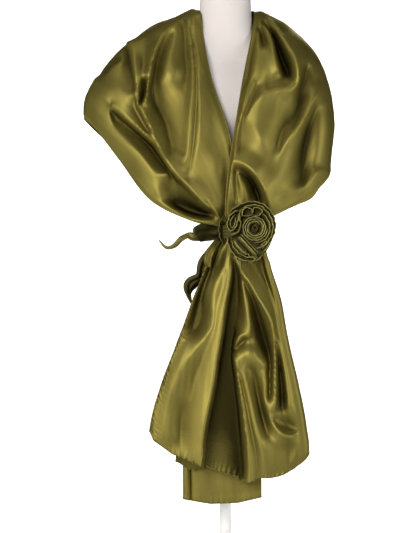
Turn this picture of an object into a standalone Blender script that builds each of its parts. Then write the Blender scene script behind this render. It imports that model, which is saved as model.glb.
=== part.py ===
"""Evening stole worn on a limbless bust form, gathered at the waist under a cloth rose.

Metres, +Z up. The front faces -Y and the origin is under the middle of the stand's base.
Left and right are those of someone who faces the front. Tables are in millimetres.
"""

import math

import bmesh
import bpy
import numpy as np
from mathutils import Vector
from mathutils.bvhtree import BVHTree

MM = 0.001

# Driving sizes, in millimetres
SEAM_GAP = 0.4
WALL = 1.6
KNOT_X, KNOT_Y, KNOT_Z = 28.0, -124.0, 662.0
BAND_HALF_WIDTH, BAND_HALF_DEPTH, BAND_HEIGHT, BAND_WALL = 46.0, 20.0, 26.0, 1.6
BAND_WAIST, BAND_SQUARENESS = 1.0, 3.0
FORM_CLEARANCE = 1.2
BASE_RADIUS, BASE_THICK, BASE_ROUND = 150.0, 14.0, 5.0
POLE_RADIUS = 12.0
SOCKET_RADIUS, SOCKET_HEIGHT = 34.0, 22.0
FORM_BOTTOM, FORM_TOP = 712.0, 1160.0

# Bust form: a row for each level
#       z,  half width, half depth, centre y
FORM_LEVELS = (
    (712, 108, 78, -6),
    (716, 114, 84, -6),
    (735, 122, 92, -8),
    (765, 132, 102, -12),
    (797, 140, 107, -14),
    (830, 145, 104, -10),
    (870, 153, 99, -4),
    (915, 166, 94, 2),
    (950, 178, 87, 6),
    (975, 183, 78, 8),
    (994, 178, 68, 9),
    (1008, 163, 60, 8),
    (1022, 136, 57, 7),
    (1038, 100, 56, 5),
    (1055, 75, 56, 2),
    (1075, 60, 56, -1),
    (1100, 54, 55, -4),
    (1150, 52, 53, -8),
    (1157, 50, 51, -8),
    (1160, 44, 45, -8),
)
FORM_SIDES = 32
FORM_SQUARENESS = 2.25

# Wrap: a row for each section across the cloth, from the knot over the left shoulder,
# round the back and over the right shoulder to the knot again.
#    top edge x, y, z,   low edge x, y, z,  round, swell x, swell y
WRAP_SECTIONS = (
    (22, -122, 662, -12, -122, 662, 0.0, 0, 0),
    (2, -130, 703, -19, -130, 682, 0.0, 0, 0),
    (11, -129, 764, -72, -130, 688, 0.1, 0, -6),
    (8, -124, 848, -152, -108, 726, 0.2, 0, -16),
    (-28, -92, 966, -215, -68, 808, 0.4, -6, -34),
    (-45, -52, 1052, -264, -30, 872, 0.8, -8, -40),
    (-60, 4, 1113, -294, 5, 908, 1.0, 2, 0),
    (-48, 52, 1122, -255, 78, 862, 0.9, -10, 18),
    (-26, 76, 1126, -160, 128, 784, 0.6, -8, 22),
    (0, 82, 1127, 0, 150, 716, 0.4, 0, 16),
    (26, 76, 1126, 122, 130, 752, 0.6, 10, 18),
    (48, 52, 1122, 180, 82, 784, 0.9, 26, 14),
    (60, 4, 1113, 202, -6, 792, 1.0, 30, 0),
    (52, -52, 1056, 196, -58, 768, 0.8, 26, -26),
    (34, -92, 966, 174, -92, 732, 0.4, 16, -34),
    (15, -126, 850, 142, -110, 716, 0.2, 4, -18),
    (6, -137, 780, 116, -121, 704, 0.1, 0, -6),
    (10, -132, 703, 79, -130, 690, 0.0, 0, 0),
    (27, -122, 662, 68, -122, 662, 0.0, 0, 0),
)
LEFT_CREST, RIGHT_CREST = 6, 12
WRAP_ROWS, WRAP_COLUMNS = (23, 17, 23), 27
GATHER_DEPTH = 7.5
GATHER_REACH = 2.3
GATHER_LEFT, GATHER_RIGHT = 3.0, 3.5
EDGE_SHARE = 0.12

# Folds: a row for each, as it shows from the front, or from behind on the back.
#  x, z at the start, the middle and the end,  width to the left and right of it, height
LEFT_FOLDS = (
    ("neck trough", -72, 1062, -62, 943, -72, 781, 12, 12, -9),
    ("neck rim", -55, 1060, -44, 940, -40, 800, 11, 10, 6),
    ("side trough", -120, 1039, -146, 947, -112, 824, 28, 17, -16),
    ("pocket trough", -151, 1022, -160, 963, -170, 912, 14, 14, -11),
    ("pocket rim", -192, 1030, -184, 947, -172, 900, 17, 12, 11),
    ("main ridge", -169, 904, -118, 800, -16, 689, 36, 13, 14),
    ("under main ridge", -152, 838, -106, 752, -34, 698, 11, 18, -11),
    ("second ridge", -252, 967, -211, 898, -139, 826, 24, 13, 11),
    ("second hollow", -238, 920, -188, 850, -140, 798, 13, 15, -8),
    ("third ridge", -222, 862, -162, 796, -112, 756, 15, 15, 8),
    ("hem rim", -132, 722, -72, 696, -24, 687, 9, 9, 5),
    ("breast ridge", -100, 1050, -92, 900, -30, 715, 34, 18, 8),
)
RIGHT_FOLDS = (
    ("edge ridge", 62, 1072, 46, 973, 24, 874, 11, 11, 6),
    ("shoulder trough", 82, 1090, 106, 1022, 130, 960, 18, 18, -17),
    ("trough inner rim", 62, 1080, 84, 1018, 104, 966, 13, 14, 7),
    ("trough outer rim", 112, 1080, 138, 1022, 152, 966, 16, 16, 10),
    ("arch", 40, 844, 74, 950, 142, 930, 17, 20, 9),
    ("breast hollow", 97, 912, 108, 872, 122, 830, 26, 26, -10),
    ("side trough", 153, 955, 142, 884, 116, 812, 15, 15, -12),
    ("side ridge", 182, 930, 152, 864, 124, 814, 18, 15, 9),
    ("outer trough", 176, 888, 158, 826, 154, 762, 15, 15, -10),
    ("rose ridge", 12, 798, 50, 776, 77, 716, 26, 11, 12),
    ("rose pocket", 26, 766, 53, 742, 70, 716, 10, 13, -8),
    ("low ridge", 192, 790, 164, 758, 124, 722, 14, 14, 7),
)
BACK_FOLDS = (
    ("collar roll", -78, 1096, 0, 1078, 78, 1096, 15, 15, 9),
    ("collar trough", -100, 1080, 0, 1052, 96, 1080, 12, 12, -8),
    ("first swag", -150, 1060, 0, 1012, 140, 1060, 20, 20, 10),
    ("second swag", -200, 1012, -12, 946, 168, 1010, 26, 22, 11),
    ("second hollow", -190, 976, -10, 904, 160, 972, 22, 22, -8),
    ("third swag", -236, 956, -20, 862, 182, 930, 28, 24, 11),
    ("fourth swag", -232, 900, -10, 796, 176, 850, 24, 22, 9),
    ("low hollow", -190, 850, 0, 758, 150, 800, 18, 18, -6),
)

# Front tail: a row for each level of its front layer and the layer folded behind it
#   z, front left x, right fold x, back layer's left x, front y, depth between layers
TAIL_LEVELS = (
    (659, -7, 55, -5, -132.8, 11),
    (648, -9, 57, -7, -133.0, 11),
    (630, -24, 70, -20, -135, 14),
    (602, -38, 80, -32, -136, 17),
    (527, -66, 104, -52, -138, 22),
    (448, -95, 121, -70, -141, 25),
    (350, -131, 143, -88, -144, 27),
    (270, -151, 160, -98, -146, 28),
    (170, -150, 172, -102, -147, 28),
)
FRONT_SHARE, FOLD_SHARE = 0.62, 0.08
# Its hem: share across the front layer and then the back one, and height
TAIL_HEM = (
    (0.0, 268),
    (0.02, 252),
    (0.09, 228),
    (0.21, 205),
    (0.32, 187),
    (0.39, 171),
    (0.46, 174),
    (0.55, 196),
    (0.62, 226),
    (0.66, 238),
    (0.72, 232),
    (0.85, 216),
    (0.96, 198),
    (1.0, 214),
)
TAIL_FOLDS = (
    ("left ridge", 3, 640, -21, 497, -62, 250, 44, 16, 12),
    ("middle trough", 16, 640, -4, 416, -10, 180, 20, 20, -22),
    ("trough step", 2, 330, -4, 250, -2, 190, 7, 7, 7),
    ("knee ridge", 26, 600, 42, 487, 18, 424, 10, 12, 8),
    ("step ridge", 13, 421, 28, 310, 52, 160, 10, 14, 14),
    ("step trough", 38, 385, 54, 290, 72, 190, 13, 13, -10),
    ("round ridge", 52, 448, 71, 350, 84, 200, 18, 18, 8),
    ("long ridge", 24, 620, 70, 515, 124, 360, 10, 26, 12),
    ("long trough", 44, 540, 68, 458, 82, 372, 14, 14, -15),
    ("pocket trough", 92, 458, 98, 389, 90, 312, 12, 12, -11),
    ("swag ridge", 76, 330, 106, 262, 158, 284, 14, 14, 9),
    ("side ridge", -120, 330, -130, 300, -118, 250, 16, 16, 6),
)
# Back tail, folded in two: z, left fold x, right edge x, y, depth between layers
BACK_TAIL_LEVELS = (
    (659, -4, 54, -114.6, 8),
    (648, -6, 56, -114.2, 8),
    (630, -18, 62, -112, 9),
    (600, -28, 66, -108, 11),
    (520, -58, 69, -103, 14),
    (430, -80, 70, -99, 16),
    (300, -86, 70, -97, 17),
    (124, -86, 71, -96, 18),
)
BACK_TAIL_STEP = 9.0
# Its hem: share of the width, height
BACK_TAIL_HEM = ((0.0, 129), (0.35, 120), (0.7, 122), (1.0, 133))

# Rose. Its petals are walls on these lines of x and z, that stand forward of its backing
ROSE_BACK_Y = KNOT_Y - BAND_HALF_DEPTH - SEAM_GAP
BACKING_X, BACKING_Z, BACKING_HALF_WIDTH, BACKING_HALF_HEIGHT = 47.0, 662.0, 45.0, 55.0
BACKING_THICK = 2.0
ROSE_WALL = 1.4
HEART_X, HEART_Z = 55.3, 668.5
HEART_TURNS, HEART_INNER, HEART_OUTER, HEART_DEPTH = 2.7, 6.0, 21.5, 27.0
#  name, depth, set back, points
ROSE_PETALS = (
    (
        "rose_petal_inner",
        24,
        0,
        ((55, 641), (64, 641), (75, 647), (82, 659), (83, 674), (77, 688), (66, 697), (52, 700))
        + ((40, 698), (32, 691), (29, 680), (29, 669), (26, 661), (19, 657), (9, 656)),
    ),
    (
        "rose_petal_right",
        22,
        0,
        ((60, 628), (73, 634), (83, 646), (89, 662), (89, 679), (83, 693), (71, 704))
        + ((56, 709), (41, 707), (31, 701)),
    ),
    (
        "rose_petal_outer",
        19,
        0,
        ((75, 622), (85, 640), (93, 658), (95, 676), (91, 691), (81, 706), (67, 715))
        + ((50, 719), (32, 715), (17, 707), (8, 700)),
    ),
    (
        "rose_petal_left",
        23,
        0,
        ((23, 703), (14, 700), (6, 692), (1.5, 680), (2, 669), (8, 664.5), (16, 667))
        + ((22, 675), (25, 686), (26, 696)),
    ),
    (
        "rose_fold_upper",
        24,
        0,
        ((33, 654), (47, 638.5), (60, 625), (62, 621.5), (58, 621), (44, 635), (29, 651)),
    ),
    (
        "rose_fold_lower",
        22,
        0,
        ((20, 652), (36, 635), (52, 620), (55, 616), (50, 615), (32, 630), (15, 648)),
    ),
    (
        "rose_petal_low",
        20,
        0,
        ((3, 652), (3, 640), (7, 629), (16, 616), (28, 608), (44, 604.5), (60, 607), (71, 616)),
    ),
    ("rose_petal_tuck", 21, 0, ((9, 646), (12, 634), (21, 622), (33, 614), (47, 610), (59, 613))),
    ("rose_petal_side", 15, 8.3, ((-5, 693), (-12, 682), (-15, 668), (-13, 652), (-7, 638))),
)
# Tie ends and leaf: a row for each point along it: x, y, z, width, lean in degrees
TIE_UPPER = (
    (-19.0, -122, 659, 25, 8),
    (-42, -122, 658, 33, -4),
    (-58, -123, 655, 25, -22),
    (-72, -124, 657, 17, -30),
    (-88, -125, 650, 13, -20),
    (-104, -124, 639, 10, 0),
    (-119, -122, 636, 6, 10),
    (-133, -121, 647, 3, 20),
)
TIE_LOWER = (
    (-17.2, -119, 648.1, 16, 85),
    (-40, -119, 622, 23, 55),
    (-54, -118, 598, 22, 35),
    (-60, -118, 574, 22, 60),
    (-70, -119, 556, 26, 20),
    (-73, -119, 536, 16, 60),
    (-66, -119, 514, 4, 80),
)
LEAF = (
    (-15.0, -135.2, 647.2, 5, 60),
    (-27, -151, 635, 17, 50),
    (-35, -156, 620, 21, 40),
    (-40, -157, 604, 17, 55),
    (-41, -156, 592, 6, 80),
)
TIE_WALL = 1.5

# Material: colour, roughness, metallic
SATIN = ("stole_satin", (0.125, 0.095, 0.018), 0.36, 0.0)
FORM_COVER = ("form_cover", (0.74, 0.70, 0.68), 0.75, 0.0)
STAND_PAINT = ("stand_paint", (0.80, 0.79, 0.77), 0.40, 0.1)


def clear_scene():
    for old in list(bpy.data.objects):
        bpy.data.objects.remove(old)


def material(spec):
    name, colour, roughness, metallic = spec
    found = bpy.data.materials.get(name)
    if found:
        return found
    made = bpy.data.materials.new(name)
    made.use_nodes = True
    shader = made.node_tree.nodes["Principled BSDF"]
    shader.inputs["Base Color"].default_value = (*colour, 1.0)
    shader.inputs["Roughness"].default_value = roughness
    shader.inputs["Metallic"].default_value = metallic
    return made


def along_rows(rows, at):
    """A smooth curve through a table's rows, read at positions counted in rows."""
    rows, at = np.asarray(rows, float), np.asarray(at, float)
    last = len(rows) - 1
    i = np.clip(np.floor(at).astype(int), 0, last - 1)
    f = (at - i)[:, None]
    before, after = rows[np.maximum(i - 1, 0)], rows[np.minimum(i + 2, last)]
    here, there = rows[i], rows[i + 1]
    start_slope, end_slope = (there - before) / 2, (after - here) / 2
    return (
        here * (1 + 2 * f) * (1 - f) ** 2
        + start_slope * f * (1 - f) ** 2
        + there * f**2 * (3 - 2 * f)
        + end_slope * f**2 * (f - 1)
    )


def at_levels(rows, levels):
    """A table whose first column falls, read at the given levels."""
    rows = np.asarray(rows, float)
    index = np.interp(-np.asarray(levels, float), -rows[:, 0], np.arange(len(rows)))
    return along_rows(rows, index)


def step(low, high, x):
    f = np.clip((x - low) / (high - low), 0, 1)
    return f * f * (3 - 2 * f)


def normals(grid):
    """Unit normals of a grid of points, rows by columns."""
    across, down = np.gradient(grid, axis=1), np.gradient(grid, axis=0)
    n = np.cross(down, across)
    return n / np.maximum(np.linalg.norm(n, axis=2, keepdims=True), 1e-9)


def fold_heights(x, z, folds):
    """How far the folds lift each point of a panel, from its place in the front view."""
    x, z = x.ravel(), z.ravel()
    lift = np.zeros(len(x))
    share = np.linspace(0, 1, 15)
    for _, x0, z0, x1, z1, x2, z2, left, right, height in folds:
        # The middle is on the fold, so the curve's own control point lies past it
        cx, cz = 2 * x1 - (x0 + x2) / 2, 2 * z1 - (z0 + z2) / 2
        px = (1 - share) ** 2 * x0 + 2 * share * (1 - share) * cx + share**2 * x2
        pz = (1 - share) ** 2 * z0 + 2 * share * (1 - share) * cz + share**2 * z2
        dx, dz = np.diff(px), np.diff(pz)
        ax, az = x[:, None] - px[:-1], z[:, None] - pz[:-1]
        f = np.clip((ax * dx + az * dz) / (dx**2 + dz**2), 0, 1)
        off = np.hypot(ax - f * dx, az - f * dz)
        nearest = off.argmin(axis=1)
        pick = np.arange(len(x)), nearest
        side = (dx * az - dz * ax)[pick]
        along = (nearest + f[pick]) / len(dx)
        width = np.where(side > 0, left, right)
        taper = step(0.0, 0.25, along) * (1 - step(0.75, 1.0, along))
        lift += height * taper * np.exp(-((off[pick] / width) ** 2))
    return lift


def new_object(name, mesh, look):
    made = bpy.data.objects.new(name, mesh)
    bpy.context.scene.collection.objects.link(made)
    mesh.materials.append(material(look))
    mesh.shade_smooth()
    mesh.set_sharp_from_angle(angle=math.radians(50))
    return made


def solid_from(name, points, faces, look):
    """One closed body from points in millimetres."""
    mesh = bpy.data.meshes.new(name)
    mesh.from_pydata((np.asarray(points, float) * MM).tolist(), [], faces)
    shape = bmesh.new()
    shape.from_mesh(mesh)
    bmesh.ops.recalc_face_normals(shape, faces=shape.faces)
    if shape.calc_volume(signed=True) < 0:
        bmesh.ops.reverse_faces(shape, faces=shape.faces)
    shape.to_mesh(mesh)
    shape.free()
    return new_object(name, mesh, look)


def wall_from(name, grid, wall, look, n=None):
    """A cloth wall of even thickness round a grid of middle points, rows by columns."""
    rows, columns = grid.shape[:2]
    n = normals(grid) if n is None else n
    layers = [grid + n * wall / 2, grid - n * wall / 2]
    points = np.concatenate([layer.reshape(-1, 3) for layer in layers])
    other = rows * columns

    def at(r, c):
        return r * columns + c

    faces = []
    for r in range(rows - 1):
        for c in range(columns - 1):
            quad = (at(r, c), at(r, c + 1), at(r + 1, c + 1), at(r + 1, c))
            faces.append(quad)
            faces.append(tuple(q + other for q in reversed(quad)))
    rim = [at(0, c) for c in range(columns)]
    rim += [at(r, columns - 1) for r in range(1, rows)]
    rim += [at(rows - 1, c) for c in range(columns - 2, -1, -1)]
    rim += [at(r, 0) for r in range(rows - 2, 0, -1)]
    for a, b in zip(rim, rim[1:] + rim[:1]):
        faces.append((b, a, a + other, b + other))
    return solid_from(name, points, faces, look)


def ring(half_width, half_depth, squareness, sides):
    """A rounded oblong, anticlockwise from +X."""
    turn = np.linspace(0, 2 * math.pi, sides, endpoint=False)
    c, s = np.cos(turn), np.sin(turn)
    power = 2 / squareness
    x = half_width * np.sign(c) * np.abs(c) ** power
    y = half_depth * np.sign(s) * np.abs(s) ** power
    return np.stack([x, y], axis=1)


def lofted(name, rings, look):
    """One body through rings of equal point counts, capped flat at both ends."""
    sides = len(rings[0])
    points = np.concatenate(rings)
    faces = [tuple(reversed(range(sides)))]
    for r in range(len(rings) - 1):
        for c in range(sides):
            d = (c + 1) % sides
            faces.append(
                (r * sides + c, r * sides + d, (r + 1) * sides + d, (r + 1) * sides + c)
            )
    faces.append(tuple(range((len(rings) - 1) * sides, len(rings) * sides)))
    return solid_from(name, points, faces, look)


def turned(name, profile, sides, look):
    """A turned piece about the stand's axis, from radius and height."""
    rings = []
    for radius, height in profile:
        flat = ring(radius, radius, 2.0, sides)
        rings.append(np.column_stack([flat, np.full(sides, height)]))
    return lofted(name, rings, look)


def bust_form():
    rings = []
    for z, half_width, half_depth, centre in FORM_LEVELS:
        flat = ring(half_width, half_depth, FORM_SQUARENESS, FORM_SIDES)
        rings.append(np.column_stack([flat[:, 0], flat[:, 1] + centre, np.full(FORM_SIDES, z)]))
    return lofted("bust_form", rings, FORM_COVER)


def stand():
    top = BASE_THICK
    r = BASE_ROUND
    edge = [
        (BASE_RADIUS - r + r * math.cos(a), top - r + r * math.sin(a))
        for a in np.radians([0, 30, 60, 90])
    ]
    turned("stand_base", [(BASE_RADIUS, 0), *edge], 48, STAND_PAINT)
    foot = top + 0.3
    turned(
        "stand_foot_collar",
        [(30, foot), (30, foot + 5), (21, foot + 14), (20, foot + 24), (17, foot + 27)],
        28,
        STAND_PAINT,
    )
    socket = FORM_BOTTOM - 0.3
    turned(
        "stand_pole",
        [(POLE_RADIUS, foot + 27.3), (POLE_RADIUS, socket - SOCKET_HEIGHT - 0.3)],
        24,
        STAND_PAINT,
    )
    turned(
        "stand_socket",
        [
            (18, socket - SOCKET_HEIGHT),
            (20, socket - SOCKET_HEIGHT + 3),
            (20, socket - 9),
            (SOCKET_RADIUS, socket - 6),
            (SOCKET_RADIUS, socket),
        ],
        28,
        STAND_PAINT,
    )


def surface_tree(body):
    mesh = body.data
    return BVHTree.FromPolygons(
        [v.co for v in mesh.vertices], [tuple(p.vertices) for p in mesh.polygons]
    )


def clear_of(grid, tree, clearance):
    """The grid with points nearer to a body than the clearance moved straight out from it."""
    out = grid.copy()
    for index in np.ndindex(grid.shape[:2]):
        here = Vector(grid[index] * MM)
        place, normal, _, far = tree.find_nearest(here)
        outside = (here - place).dot(normal) > 0
        away = far / MM if outside else -far / MM
        if away < clearance:
            out[index] = np.array(place + normal * clearance * MM) / MM
    return out


def wrap_grid(sections, shares):
    """Points of the wrap with its gathers and folds, a row for each section position."""
    rows = along_rows(WRAP_SECTIONS, sections)[:, None, :]
    t = np.asarray(shares)[None, :, None]
    top, low, swell = rows[..., 0:3], rows[..., 3:6], rows[..., 7:9]
    roundness = rows[..., 6:7]
    out = (1 - roundness) * t + roundness * np.sin(t * math.pi / 2)
    down = (1 - roundness) * t + roundness * (1 - np.cos(t * math.pi / 2))
    plan = top[..., :2] + (low - top)[..., :2] * out + swell * np.sin(t * math.pi)
    height = top[..., 2:] + (low - top)[..., 2:] * down
    grid = np.concatenate([plan, height], axis=2)

    n = normals(grid)
    s, t = np.meshgrid(sections, shares, indexing="ij")
    from_knot = np.minimum(s, len(WRAP_SECTIONS) - 1 - s)
    pleats = np.where(s < 9, GATHER_LEFT, GATHER_RIGHT)
    reach = GATHER_REACH * (1 + 0.35 * np.sin(7 * t + 2))
    edge = step(0, EDGE_SHARE, t) * step(0, EDGE_SHARE, 1 - t)
    gather = GATHER_DEPTH * np.exp(-((from_knot / reach) ** 2)) * edge
    lift = gather * np.sin(2 * math.pi * pleats * t)

    x, z = grid[..., 0], grid[..., 2]
    facing = step(0.12, 0.5, np.abs(n[..., 1]))
    front, behind = s < LEFT_CREST, (s >= LEFT_CREST) & (s <= RIGHT_CREST)
    for where, folds in (
        (front, LEFT_FOLDS),
        (behind, BACK_FOLDS),
        (s > RIGHT_CREST, RIGHT_FOLDS),
    ):
        heights = fold_heights(x, z, folds).reshape(x.shape)
        lift = lift + np.where(where, heights * facing * step(0, 0.08, t) * step(0, 0.06, 1 - t), 0)
    # Outwards is away from the stand's axis
    outward = np.sign(n[..., 0] * x + n[..., 1] * grid[..., 1])
    return grid + n * (lift * outward)[..., None]


def section_run(first, last, count):
    """Section positions, spaced half by the table's rows and half by length of cloth."""
    fine = np.linspace(first, last, 200)
    rows = along_rows(WRAP_SECTIONS, fine)
    steps = np.linalg.norm(np.diff((rows[:, :3] + rows[:, 3:6]) / 2, axis=0), axis=1)
    length = np.concatenate([[0], np.cumsum(steps)])
    share = length / length[-1] + (fine - first) / (last - first)
    return np.interp(np.linspace(0, 2, count), share, fine)


def wrap(form_tree):
    last = len(WRAP_SECTIONS) - 1
    ends = (0, LEFT_CREST, RIGHT_CREST, last)
    runs = [section_run(a, b, n)[1:] for a, b, n in zip(ends, ends[1:], WRAP_ROWS)]
    sections = np.concatenate([[0], *runs])
    grid = wrap_grid(sections, np.linspace(0, 1, WRAP_COLUMNS))
    grid = clear_of(grid, form_tree, FORM_CLEARANCE + WALL / 2)
    n = normals(grid)
    first = 0
    for name, rows in zip(("wrap_left_front", "wrap_back", "wrap_right_front"), WRAP_ROWS):
        panel = grid[first : first + rows].copy()
        # Each panel stops short of its neighbour by half a seam
        for end, inner in ((0, 1), (-1, -2)):
            run = panel[inner] - panel[end]
            length = np.linalg.norm(run, axis=1, keepdims=True)
            panel[end] += run / length * SEAM_GAP / 2
        wall_from(name, panel, WALL, SATIN, n[first : first + rows])
        first += rows - 1


def tail_grid(shares, levels):
    """The front tail: its front layer, the fold at the right and the layer behind."""
    u, v = np.asarray(shares), np.asarray(levels)
    hem = np.asarray(TAIL_HEM, float)
    hem_z = along_rows(hem[:, 1:], np.interp(u, hem[:, 0], np.arange(len(hem))))[:, 0]
    top = TAIL_LEVELS[0][0]
    z = top + (hem_z[None, :] - top) * v[:, None]
    rows = at_levels(TAIL_LEVELS, z.ravel()).reshape(*z.shape, -1)
    left, right, behind, front_y, depth = (rows[..., k] for k in range(1, 6))
    u = np.broadcast_to(u, z.shape)
    across = np.clip(u / FRONT_SHARE, 0, 1)
    turn = np.clip((u - FRONT_SHARE) / FOLD_SHARE, 0, 1) * math.pi
    back = np.clip((u - FRONT_SHARE - FOLD_SHARE) / (1 - FRONT_SHARE - FOLD_SHARE), 0, 1)
    x = left + (right - left) * across + depth / 2 * np.sin(turn) - (right - behind) * back
    y = front_y + depth / 2 * (1 - np.cos(turn))
    fall = step(0.0, 0.35, v)[:, None]
    # The front layer bellies forward a little between its edges, and the back one waves
    y = y - 7 * fall * np.sin(math.pi * across) ** 2 * (back == 0)
    y = y + 3 * fall * np.sin(9 * back) * step(0, 0.1, back)
    grid = np.stack([x, y, z], axis=2)
    gather = 4.5 * np.exp(-((v / 0.12) ** 2))[:, None]
    waves = np.sin(2 * math.pi * 5 * across) * step(0, 0.08, across) * step(0, 0.08, 1 - across)
    lift = fold_heights(x, z, TAIL_FOLDS).reshape(x.shape)
    lift = lift * step(0, 0.16, across) * step(0, 0.12, 1 - across) * step(0.04, 0.2, v)[:, None]
    grid[..., 1] -= gather * waves + lift
    return grid


def tails():
    behind = FRONT_SHARE + FOLD_SHARE
    shares = np.concatenate(
        [
            np.linspace(0, FRONT_SHARE, 27),
            np.linspace(FRONT_SHARE, behind, 5)[1:],
            np.linspace(behind, 1, 6)[1:],
        ]
    )
    wall_from("tail_front", tail_grid(shares, np.linspace(0, 1, 17)), WALL, SATIN)

    top = BACK_TAIL_LEVELS[0][0]
    turn, flat = np.linspace(0, math.pi, 6)[1:-1], np.linspace(0, 1, 6)
    rows = []
    for share in np.linspace(0, 1, 10):
        level = top + (BACK_TAIL_HEM[1][1] - top) * share
        _, left, right, y, depth = at_levels(BACK_TAIL_LEVELS, [level])[0]
        fold = left + depth / 2
        x = np.concatenate(
            [
                right + (fold - right) * flat,
                fold - depth / 2 * np.sin(turn),
                fold + (right - BACK_TAIL_STEP - fold) * flat,
            ]
        )
        forward = np.concatenate([np.ones(6), np.cos(turn), -np.ones(6)])
        hem = np.interp((x - left) / (right - left), *np.transpose(BACK_TAIL_HEM))
        rows.append(np.stack([x, y - depth / 2 * forward, top + (hem - top) * share], axis=1))
    wall_from("tail_back", np.array(rows), WALL, SATIN)


def band():
    """The strap of cloth that holds the gathers, an open ring."""
    sides = 36
    outer, inner = [], []
    for level, waist in ((-0.5, 0), (0, BAND_WAIST), (0.5, 0)):
        z = np.full(sides, KNOT_Z + level * BAND_HEIGHT)
        for into, take in ((outer, waist), (inner, waist + BAND_WALL)):
            flat = ring(BAND_HALF_WIDTH - take, BAND_HALF_DEPTH - take, BAND_SQUARENESS, sides)
            into.append(np.column_stack([flat + (KNOT_X, KNOT_Y), z]))
    loops = outer + inner[::-1]
    points = np.concatenate(loops)
    faces = []
    for k in range(len(loops)):
        here, there = k * sides, ((k + 1) % len(loops)) * sides
        for c in range(sides):
            d = (c + 1) % sides
            faces.append((here + c, here + d, there + d, there + c))
    solid_from("rose_band", points, faces, SATIN)


def petal(name, line, depth, set_back, look):
    """A wall on a line of x and z, from the rose's backing forward, or from behind it."""
    line = np.asarray(line, float)
    grid = np.zeros((len(line), 2, 3))
    grid[..., 0], grid[..., 2] = line[:, None, 0], line[:, None, 1]
    root = ROSE_BACK_Y - BACKING_THICK - SEAM_GAP + set_back
    grid[..., 1] = (root - depth, root)
    wall_from(name, grid, ROSE_WALL, look)


def rose():
    flat = ring(BACKING_HALF_WIDTH, BACKING_HALF_HEIGHT, 2.0, 32)
    rings = [
        np.column_stack([flat[:, 0] + BACKING_X, np.full(32, y), flat[:, 1] + BACKING_Z])
        for y in (ROSE_BACK_Y - BACKING_THICK, ROSE_BACK_Y)
    ]
    lofted("rose_backing", rings, SATIN)
    turn = np.linspace(0, HEART_TURNS * 2 * math.pi, 44)
    radius = np.linspace(HEART_INNER, HEART_OUTER, len(turn))
    heart = np.stack([HEART_X + radius * np.cos(turn), HEART_Z + radius * np.sin(turn)], axis=1)
    petal("rose_heart", heart, HEART_DEPTH, 0, SATIN)
    for name, depth, set_back, points in ROSE_PETALS:
        line = along_rows(points, np.linspace(0, len(points) - 1, round(1.5 * len(points))))
        petal(name, line, depth, set_back, SATIN)


def ribbon(name, rows, look):
    """A tapering strip of cloth along a table's rows, leaning as the table says."""
    rows = np.asarray(rows, float)
    points = along_rows(rows, np.linspace(0, len(rows) - 1, 2 * len(rows) - 1))
    run = np.gradient(points[:, :3], axis=0)
    run /= np.linalg.norm(run, axis=1, keepdims=True)
    lean = np.radians(points[:, 4])
    side = np.cross(run, (0, 1, 0))
    side /= np.linalg.norm(side, axis=1, keepdims=True)
    other = np.cross(run, side)
    across = side * np.cos(lean)[:, None] + other * np.sin(lean)[:, None]
    reach = np.linspace(-0.5, 0.5, 4)
    grid = points[:, None, :3] + across[:, None] * (points[:, 3, None] * reach)[..., None]
    wall_from(name, grid, TIE_WALL, look)


def main():
    clear_scene()
    form = bust_form()
    stand()
    wrap(surface_tree(form))
    tails()
    band()
    rose()
    ribbon("tie_end_upper", TIE_UPPER, SATIN)
    ribbon("tie_end_lower", TIE_LOWER, SATIN)
    ribbon("rose_leaf", LEAF, SATIN)


main()
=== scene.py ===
"""The looks of an evening stole on a bust form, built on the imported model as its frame.

Millimetres in the tables, metres in the meshes. The front faces -Y, and left and right are
those of someone who faces it. A place "as seen" is where a point shows on the plane SEEN_Y,
from the camera.
"""

import math
import re

import bmesh
import bpy
import numpy as np
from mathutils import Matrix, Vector
from mathutils.bvhtree import BVHTree


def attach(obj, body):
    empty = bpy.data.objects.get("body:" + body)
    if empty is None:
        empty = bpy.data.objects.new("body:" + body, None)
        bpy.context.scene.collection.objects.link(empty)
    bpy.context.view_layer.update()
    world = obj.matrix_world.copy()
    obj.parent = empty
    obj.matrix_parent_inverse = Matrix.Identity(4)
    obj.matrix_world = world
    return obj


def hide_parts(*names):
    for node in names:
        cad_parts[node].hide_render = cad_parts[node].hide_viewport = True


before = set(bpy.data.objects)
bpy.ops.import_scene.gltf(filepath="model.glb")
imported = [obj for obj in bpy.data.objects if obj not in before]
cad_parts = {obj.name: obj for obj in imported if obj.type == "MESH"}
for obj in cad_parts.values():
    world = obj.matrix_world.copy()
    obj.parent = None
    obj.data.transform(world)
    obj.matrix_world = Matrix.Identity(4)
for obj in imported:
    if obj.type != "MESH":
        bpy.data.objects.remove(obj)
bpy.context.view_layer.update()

MM = 0.001
TURN = 2 * math.pi

# Camera. The photograph is 533 pixels high, and one of them shows 2 mm of the plane SEEN_Y
CAMERA_X, CAMERA_Z, CAMERA_DISTANCE = -52.0, 593.0, 3500.0
SEEN_Y = -100.0
PHOTO_PIXELS_HIGH, SEEN_MM_PER_PIXEL = 533, 2.0

# Sizes shared with the solids
KNOT_X, KNOT_Y, KNOT_Z = 28.0, -124.0, 662.0
BAND_HALF_WIDTH, BAND_HALF_DEPTH, BAND_HEIGHT = 46.0, 20.0, 26.0
BAND_SQUARENESS, FORM_SQUARENESS = 3.0, 2.25
SEAM_GAP = 0.4
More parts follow.
